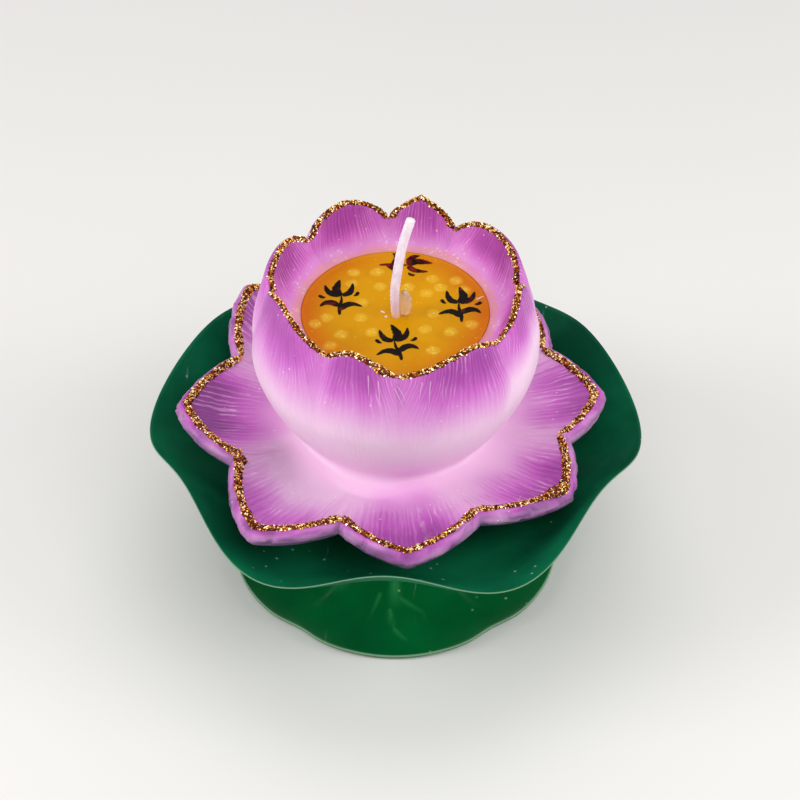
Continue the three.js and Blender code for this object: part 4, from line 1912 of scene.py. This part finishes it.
@dataclass
class GlitterStroke:
    """One hand-drawn stroke of gold glitter: a lumpy bead of glue set with flakes."""

    name: str
    node: str
    line: Callable[[float], StrokePoint]
    start: float  # turns in degrees between which it runs
    end: float
    width: float
    blobs: Sequence[tuple[float, float]]  # turns at which it is wider, and by what share
    seed: int
    thickness: float = 0.7
    blob_length: float = 3.4  # degrees to both sides
    density: float = 7.0  # flakes to a square mm
    flake: float = 0.27
    flake_depth: float = 0.09
    tilt: float = 0.5  # how far a flake leans at random
    ends: float = 24  # the higher, the shorter its tapered ends
    parts: int = 40  # in which its length is measured
    facet: float = 0.45  # mm between the bead's rings
    sides: int = 12

    def spread(self, turn: float) -> float:
        """Finds how wide the bead is.

        Args:
            turn: The turn in degrees.

        Returns:
            Half its width there in mm.
        """
        swell = sum(
            size * math.exp(-(((turn - at + 180) % 360 - 180) / self.blob_length) ** 2)
            for at, size in self.blobs
        )
        slow, quick = grain(turn * 0.35, self.seed, 0), grain(turn * 1.3, self.seed, 4)
        uneven = 0.74 + 0.34 * slow + 0.2 * quick
        return self.width / 2 * (uneven + swell)

    def point(self, turn: float, across: float, off: float) -> Vector:
        """Places a point of the stroke.

        Args:
            turn: Its turn in degrees.
            across: Its place across the stroke, from -1 to 1.
            off: Its distance off the wax in mm.

        Returns:
            The point in mm.
        """
        spot = self.line(turn)
        side = across * self.spread(turn)
        step = 0.3
        before, after = max(self.start, turn - step), min(self.end, turn + step)
        ahead = self.line(after).middle - self.line(before).middle
        square = spot.off.cross(ahead).normalized()
        bend = spot.bend * square.dot(spot.across) ** 2
        return spot.middle + square * side + spot.off * (off - bend * side**2 / 2)

    def build(self, glue: bpy.types.Material, gold: bpy.types.Material) -> None:
        """Builds the bead and its flakes and sets them in the frame.

        Args:
            glue: Finish of the bead.
            gold: Finish of the flakes.
        """
        arc = self.end - self.start
        turns = [self.start + arc * part / self.parts for part in range(self.parts + 1)]
        spots = [self.line(turn).middle for turn in turns]
        length = sum((after - before).length for before, after in zip(spots, spots[1:]))
        steps = max(24, round(length / self.facet))

        def place(share: float, angle: float) -> Vector:
            """Places a point of it.

            Args:
                share: Share of the way along.
                angle: Angle round it in radians.

            Returns:
                The point in metres.
            """
            turn = self.start + arc * share
            full = min(1, self.ends * share, self.ends * (1 - share)) ** 0.5
            x, y = math.cos(angle), math.sin(angle)
            rough = 1 + 0.35 * grain(turn * 2.2, 3 * x + self.seed, 3 * y)
            off = (0.62 * y * self.thickness * rough + 0.02) * full
            return self.point(turn, x * full * 0.94, off) * MM

        mesh = sleeve(steps, self.sides, place)
        set_mark(mesh, "spark", lambda spot: 0.06 + 0.2 * grain(*spot))
        settle(mesh, self.name, glue, Body.CANDLE, Slot.GOLD_GLITTER, [self.node])
        self.set_flakes(gold, length)

    def set_flakes(self, gold: bpy.types.Material, length: float) -> None:
        """Scatters flakes over the bead.

        Args:
            gold: Their finish.
            length: Length of the stroke in mm.
        """
        draw = random.Random(self.seed)
        mesh = bmesh.new()
        spark = mesh.verts.layers.float.new("spark")
        for _ in range(round(length * self.width * self.density)):
            share = draw.random()
            turn = lerp(self.start, self.end, share)
            full = min(1, self.ends * share + 0.2, self.ends * (1 - share) + 0.2) ** 0.5
            across = draw.uniform(-1, 1)
            lift = 0.6 * self.thickness * math.sqrt(max(0, 1 - across**2)) * draw.uniform(0.85, 1.1)
            spot = self.line(turn)
            middle = self.point(turn, across * full, lift * full)
            normal = (spot.off + 0.8 * across * spot.across).normalized()
            normal += Vector([draw.gauss(0, self.tilt) for _ in range(3)])
            turned = normal.to_track_quat("Z", "Y").to_matrix().to_4x4()
            radius = self.flake * draw.uniform(0.6, 1.15) * MM
            made = bmesh.ops.create_cone(
                mesh,
                cap_ends=True,
                segments=6,
                radius1=radius,
                radius2=radius * 0.86,
                depth=self.flake_depth * MM,
                matrix=Matrix.Translation(middle * MM) @ turned,
            )
            tone = 0.5 + 1.1 * grain(*(middle / 0.7)) + draw.uniform(-0.42, 0.42)
            for vertex in made["verts"]:
                vertex[spark] = min(1, max(0, tone))
        name = self.name.replace("bead", "flakes")
        settle(mesh, name, gold, Body.CANDLE, Slot.GOLD_GLITTER, shaded_smooth=False)


@dataclass
class GlitterLines:
    """The glitter lines on both rings of petals, one stroke a petal."""

    cup: PetalCup
    saucer: PetalSaucer
    rim_width: float = 2.15
    rim_lean: float = 12  # degrees by which the line leans in at the back and out at the front
    side_lean: float = 24  # degrees by which it leans in at the sides
    saucer_width: float = 2.9
    saucer_inset: float = 0.8
    bare: float = 0.35  # degrees left bare at both ends of a stroke

    # Turns in degrees at which a line is wider, and by what share
    rim_blobs = (
        (93, 0.4), (60.5, 0.35), (136, 0.25), (264, 0.45), (236.7, 0.15), (5, 0.3), (342, 0.3),
    )
    saucer_blobs = ((206.7, 1.0), (252.2, 0.75), (297.2, 0.7), (322, 1.0), (232, 0.2))

    def rim_point(self, turn: float) -> StrokePoint:
        """Follows the line along the cup's rim.

        Args:
            turn: The turn in degrees.

        Returns:
            The point there.
        """
        radius, height = self.cup.rim_centre(self.cup.ring.spot(turn))
        x, y = facing(turn)
        lean = math.radians(90 + self.rim_lean * y + self.side_lean * x**2)
        arm = self.cup.rim / 2
        middle = polar(radius + arm * math.cos(lean), turn, height + arm * math.sin(lean)) / MM
        off = polar(math.cos(lean), turn, math.sin(lean)) / MM
        across = polar(-math.sin(lean), turn, math.cos(lean)) / MM
        return StrokePoint(middle, across, off, 1 / arm)

    def saucer_point(self, turn: float) -> StrokePoint:
        """Follows the line along the brink of the saucer.

        Args:
            turn: The turn in degrees.

        Returns:
            The point there.
        """
        spot = self.saucer.ring.spot(turn)
        share = 1 - self.saucer_inset / self.saucer.width(spot)
        radius, height = self.saucer.top_at(spot, share)
        nearer, lower = self.saucer.top_at(spot, share - 0.05)
        slope = math.atan2(height - lower, radius - nearer)
        off = polar(-math.sin(slope), turn, math.cos(slope)) / MM
        across = polar(-math.cos(slope), turn, -math.sin(slope)) / MM
        return StrokePoint(polar(radius, turn, height) / MM, across, off)

    def build(self, glue: bpy.types.Material, gold: bpy.types.Material) -> None:
        """Builds all strokes.

        Args:
            glue: Finish of their beads.
            gold: Finish of their flakes.
        """
        cup, saucer = self.cup.ring, self.saucer.ring
        lines = (
            ("rim", 20, cup, self.rim_point, self.rim_width, self.rim_blobs),
            ("saucer", 40, saucer, self.saucer_point, self.saucer_width, self.saucer_blobs),
        )
        for kind, seed, ring, line, width, blobs in lines:
            for index, petal in enumerate(ring.petals):
                stroke = GlitterStroke(
                    name=f"{kind}_bead_{index + 1}",
                    node=f"{kind}_glitter_{index + 1}",
                    line=line,
                    start=petal.start + self.bare,
                    end=ring.end(index) - self.bare,
                    width=width,
                    blobs=blobs,
                    seed=seed + index,
                )
                stroke.build(glue, gold)


class BrushMark(NamedTuple):
    """A brush mark: points in mm of a sprig's own ground, and its greatest width."""

    points: tuple[tuple[float, float], ...]
    width: float


# A lotus sprig: stem, bud, leaves and dots
SPRIG = (
    BrushMark(((-0.9, -6.9), (-0.6, -4.0), (0.2, -1.5), (0.4, 0.8)), 1.0),
    BrushMark(((0.3, 0.4), (-0.6, 2.7), (0.0, 4.8), (0.8, 6.8)), 2.3),
    BrushMark(((0.2, 0.6), (-1.8, 1.5), (-2.9, 3.2), (-3.2, 5.3)), 1.8),
    BrushMark(((0.6, 0.6), (2.4, 1.2), (3.4, 2.9), (3.9, 5.0)), 1.8),
    BrushMark(((-0.6, -3.4), (-2.3, -1.9), (-4.0, -1.8), (-5.5, -2.9)), 2.0),
    BrushMark(((-0.7, -4.9), (1.2, -3.3), (3.1, -3.2), (5.2, -4.5)), 2.0),
    BrushMark(((-5.2, 1.5), (-4.5, 0.6), (-3.6, 0.4)), 1.0),
    BrushMark(((4.9, 1.4), (4.3, 0.3), (3.5, 0.0)), 1.0),
)


@dataclass
class InkSprig:
    """One brush-drawn sprig that lies on the gel."""

    index: int
    middle: tuple[float, float]
    turn: float
    mirrored: bool
    ground: float
    dryness: float = 0  # the higher, the more of the ink is thin and red
    size: float = 1.0
    thickness: float = 0.12
    steps: int = 24
    sides: int = 10

    def build(self, finish: bpy.types.Material) -> None:
        """Builds the sprig and sets it in the frame.

        Args:
            finish: Its finish.
        """

        def thin(spot: Vector) -> float:
            """Returns how thin the ink is at a point in mm."""
            return smooth(0.1, 0.7, grain(spot.x / 2, spot.y / 2, self.index) + self.dryness)

        mesh = merged(self.brushed(mark, number) for number, mark in enumerate(SPRIG))
        set_mark(mesh, "thin", thin)
        settle(mesh, f"ink_sprig_{self.index}", finish, Body.CANDLE, Slot.AMBER_GEL)

    def brushed(self, mark: BrushMark, number: int) -> bmesh.types.BMesh:
        """Lays one brush mark down as a flat sleeve with pointed ends.

        Args:
            mark: The mark.
            number: Its number in the sprig, which sets how ragged it is.

        Returns:
            A closed mesh in metres.
        """
        points = [Vector(point) for point in mark.points]
        last = len(points) - 1
        spin = Matrix.Rotation(math.radians(self.turn), 2)

        def path(share: float) -> Vector:
            """Follows the mark's middle line.

            Args:
                share: Share of the way along.

            Returns:
                The point in mm.
            """
            index = min(last - 1, int(share * last))
            before, after = points[max(0, index - 1)], points[min(last, index + 2)]
            start, end = points[index], points[index + 1]
            leave, arrive = (end - before) / 2, (after - start) / 2
            return eased(start, end, leave, arrive, share * last - index)

        def place(share: float, angle: float) -> Vector:
            """Places a point of it.

            Args:
                share: Share of the way along.
                angle: Angle round it in radians.

            Returns:
                The point in metres.
            """
            ahead = path(min(1, share + 0.01)) - path(max(0, share - 0.01))
            side = Vector((-ahead.y, ahead.x)).normalized()
            press = math.sin(math.pi * share**0.62) ** 0.7 if 0 < share < 1 else 0
            ragged = 1 + 0.18 * grain(share * 9, number, math.cos(angle) + self.index)
            half = mark.width / 2 * press * ragged
            spot = (path(share) + side * half * math.cos(angle)) * self.size
            if self.mirrored:
                spot.x = -spot.x
            spot = spin @ spot
            edge = math.copysign(abs(math.sin(angle)) ** 0.3, math.sin(angle))
            height = self.ground + self.thickness / 2 * edge * (1 if press else 0)
            return Vector((spot.x + self.middle[0], spot.y + self.middle[1], height)) * MM

        return sleeve(self.steps, self.sides, place)


class Lamp(NamedTuple):
    """A soft area lamp."""

    name: str
    place: tuple[float, float, float]  # in metres
    size: tuple[float, float]
    power: float  # in watts


class Studio:
    """Camera, lamps, floor and backdrop."""

    camera_at = (0.0, -0.4388, 0.4577)
    aim = (0.0, 0.0, 0.0485)
    lens = 102.6
    shift = (0.0059, 0.0125)
    floor_colour = srgb(238, 236, 233)
    floor_shade = srgb(230, 228, 225)
    backdrop = srgb(240, 239, 237)
    floor_size = 6.0
    fade = (0.2, 0.8)  # distances in metres between which the floor turns into the backdrop
    ambient = 0.24
    lamps = (
        Lamp("front_box", (0.14, -0.5, 0.72), (0.9, 0.5), 2.75),
        Lamp("low_box", (0, -0.7, 0.12), (0.8, 0.2), 0.4),
        Lamp("top_box", (0.0, 0.36, 0.84), (0.9, 0.6), 2.4),
        Lamp("left_box", (-0.72, -0.14, 0.42), (0.4, 0.5), 3.6),
        Lamp("right_box", (0.72, -0.14, 0.42), (0.4, 0.5), 2.8),
    )

    def stand(self, data: bpy.types.ID, place: tuple[float, float, float]) -> bpy.types.Object:
        """Stands the camera or a lamp at a place, from where it looks at the object.

        Args:
            data: The camera or the lamp.
            place: Its place in metres.

        Returns:
            Its object.
        """
        item = bpy.data.objects.new(data.name, data)
        item.location = place
        item.rotation_euler = (Vector(self.aim) - Vector(place)).to_track_quat("-Z", "Y").to_euler()
        bpy.context.scene.collection.objects.link(item)
        return item

    def build(self) -> None:
        """Builds the studio."""
        scene = bpy.context.scene
        scene.view_settings.view_transform = "Standard"
        camera = bpy.data.cameras.new("camera")
        camera.lens = self.lens
        camera.shift_x, camera.shift_y = self.shift
        scene.camera = self.stand(camera, self.camera_at)
        for lamp in self.lamps:
            light = bpy.data.lights.new(lamp.name, "AREA")
            light.shape = "RECTANGLE"
            light.size, light.size_y = lamp.size
            light.energy = lamp.power
            self.stand(light, lamp.place).visible_camera = False
        self.build_floor()
        self.build_world()

    @staticmethod
    def seen(shade: Shade) -> Socket:
        """Tells the rays that see the backdrop from those that only light the object.

        Args:
            shade: The nodes to which it adds.

        Returns:
            1 for rays from the camera, from gloss and through glass, and 0 for others.
        """
        camera, glossy, transmitted = (
            shade.node("ShaderNodeLightPath", out=f"Is {kind} Ray")
            for kind in ("Camera", "Glossy", "Transmission")
        )
        return camera + glossy + transmitted

    def build_floor(self) -> None:
        """Lays a plain pale floor."""
        mesh = bmesh.new()
        bmesh.ops.create_grid(mesh, x_segments=4, y_segments=4, size=self.floor_size / 2)
        data = bpy.data.meshes.new("floor")
        mesh.to_mesh(data)
        mesh.free()
        shade = Shade("pale_floor")
        place = shade.place()
        cloud = shade.cloud(place, 3, 2)
        values = {
            "Base Color": shade.mix(cloud, self.floor_colour, self.floor_shade),
            "Roughness": 0.7 + (cloud - 0.5) * 0.1,
        }
        matt = shade.node("ShaderNodeBsdfPrincipled", None, values)
        glow = shade.node("ShaderNodeEmission", None, {"Color": self.backdrop})
        away = shade.node("ShaderNodeVectorMath", {"operation": "LENGTH"}, {0: place}, "Value")
        share = away.rise(*self.fade) * self.seen(shade)
        blend = shade.node("ShaderNodeMixShader", None, {0: share, 1: matt, 2: glow})
        shade.finish(blend, "ShaderNodeOutputMaterial")
        data.materials.append(shade.owner)
        floor = bpy.data.objects.new("floor", data)
        bpy.context.scene.collection.objects.link(floor)

    def build_world(self) -> None:
        """Sets an even ambient light, with a pale backdrop where it is seen."""
        world = bpy.data.worlds.new("world")
        bpy.context.scene.world = world
        shade = Shade(world)
        values = {"Color": (1, 1, 1), "Strength": self.ambient}
        even = shade.node("ShaderNodeBackground", None, values)
        seen = shade.node("ShaderNodeBackground", None, {"Color": self.backdrop})
        blend = shade.node("ShaderNodeMixShader", None, {0: self.seen(shade), 1: even, 2: seen})
        shade.finish(blend, "ShaderNodeOutputWorld")


SATIN_GREEN = GreenLeaf(
    "satin_green",
    green=srgb(15, 112, 74),
    shadow=srgb(6, 76, 50),
    roughness=0.45,
    wear=0.9,
    shine=0.2,
    ior=1.2,
)
GLOSS_GREEN = GreenLeaf(
    "gloss_green",
    green=srgb(2, 108, 52),
    shadow=srgb(1, 86, 42),
    roughness=0.24,
    wear=0.8,
    shine=0.45,
    ior=1.42,
)

CUP_PETALS = (
    Petal(5, 28, 0.82, 0.94, 2.6, inner=0.54),
    Petal(60.5, 77.3, 0.796, 0.968, 1.15, inner=0.54),
    Petal(93, 115.4, 0.812, 0.962, 1.8, inner=0.54),
    Petal(136, 159, 0.816, 0.925, 2.2, inner=0.54),
    Petal(181, 204.7, 0.83, 0.98, 1.6, inner=0.5),
    Petal(236.7, 250.4, 0.86, 0.95, 1.7, inner=0.5),
    Petal(271.2, 304.9, 0.82, 0.92, 1.5, paint=1.06, inner=0.44),
    Petal(325.3, 347.9, 0.818, 0.945, 1.5, inner=0.68),
)

SAUCER_PETALS = (
    Petal(-16.4, 5.3, 0.826, 0.979, 1.15, 1.2, 0.7, 1.06, -0.05),
    Petal(28, 47, 0.835, 0.99, 1.15, 1.2, 0.8),
    Petal(68, 90, 0.835, 0.99, 1.15, 1.3, 0.9),
    Petal(112, 133.5, 0.835, 1.06, 1.15, 1.5, 2.6),
    Petal(157.3, 179.9, 0.83, 1.009, 1.15, 1.5, 0.9, 1.3, -0.1),
    Petal(206.7, 232, 0.826, 1.04, 1.15, 1.2, 0.7, 0.9, 0.36),
    Petal(252.2, 273.2, 0.826, 0.974, 1.15, 1.2, 0.7, 1.12, -0.05),
    Petal(297.2, 324, 0.826, 0.97, 1.15, 1.2, 0.7, 1.12, 0.1),
)

# Middle in mm, turn in degrees, whether mirrored, and dryness of each ink sprig
SPRIG_PLACES = (
    ((-14.1, 5.8), 8, False, 0),
    ((16.5, 3.0), -6, True, 0),
    ((0.2, -11.6), 4, True, 0),
    ((2.8, 19.0), -80, False, 0.5),
)
INK_LEVEL = 0.08  # height of the ink's middle over the gel


def main() -> None:
    """Builds every piece round the frame, then the studio."""
    logging.basicConfig(level=logging.INFO, format="%(message)s")
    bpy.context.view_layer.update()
    wax = AirbrushedWax().material()
    satin = SATIN_GREEN.material()
    gloss = GLOSS_GREEN.material()
    gel = AmberGel().material()
    glue = GoldGlitter("brown_glitter_glue", metallic=0.6, roughness=0.5).material()
    gold = GoldGlitter().material()

    fill = GelFill(low("amber_fill"))
    base = low("lower_petals")
    cup = PetalCup(PetalRing(CUP_PETALS), base + PetalSaucer.height + SEAT_GAP, fill.top)
    saucer = PetalSaucer(PetalRing(SAUCER_PETALS), base, cup)
    LeafFoot().build(gloss)
    LeafStalk().build(gloss)
    LeafDish(high("leaf_stalk") + SEAT_GAP).build(satin)
    saucer.build(wax)
    cup.build(wax)
    WaxThreads(cup).build(wax)
    fill.build(gel)
    fill.set_pearls(gel)
    cotton = WaxedCotton().material()
    fill.scatter_crumbs(cotton)
    Wick(fill.top).build(cotton)
    GlueDrop(fill.top).build(ClearGlue().material())
    GlitterLines(cup, saucer).build(glue, gold)
    ink = BrushInk().material()
    for index, (middle, turn, mirrored, dryness) in enumerate(SPRIG_PLACES, 1):
        InkSprig(index, middle, turn, mirrored, fill.top + INK_LEVEL, dryness).build(ink)
    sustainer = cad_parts["wick_sustainer"]
    sustainer.data.materials.clear()
    sustainer.data.materials.append(TinPlate().material())

    Studio().build()
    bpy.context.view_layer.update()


if __name__ == "__main__":
    main()
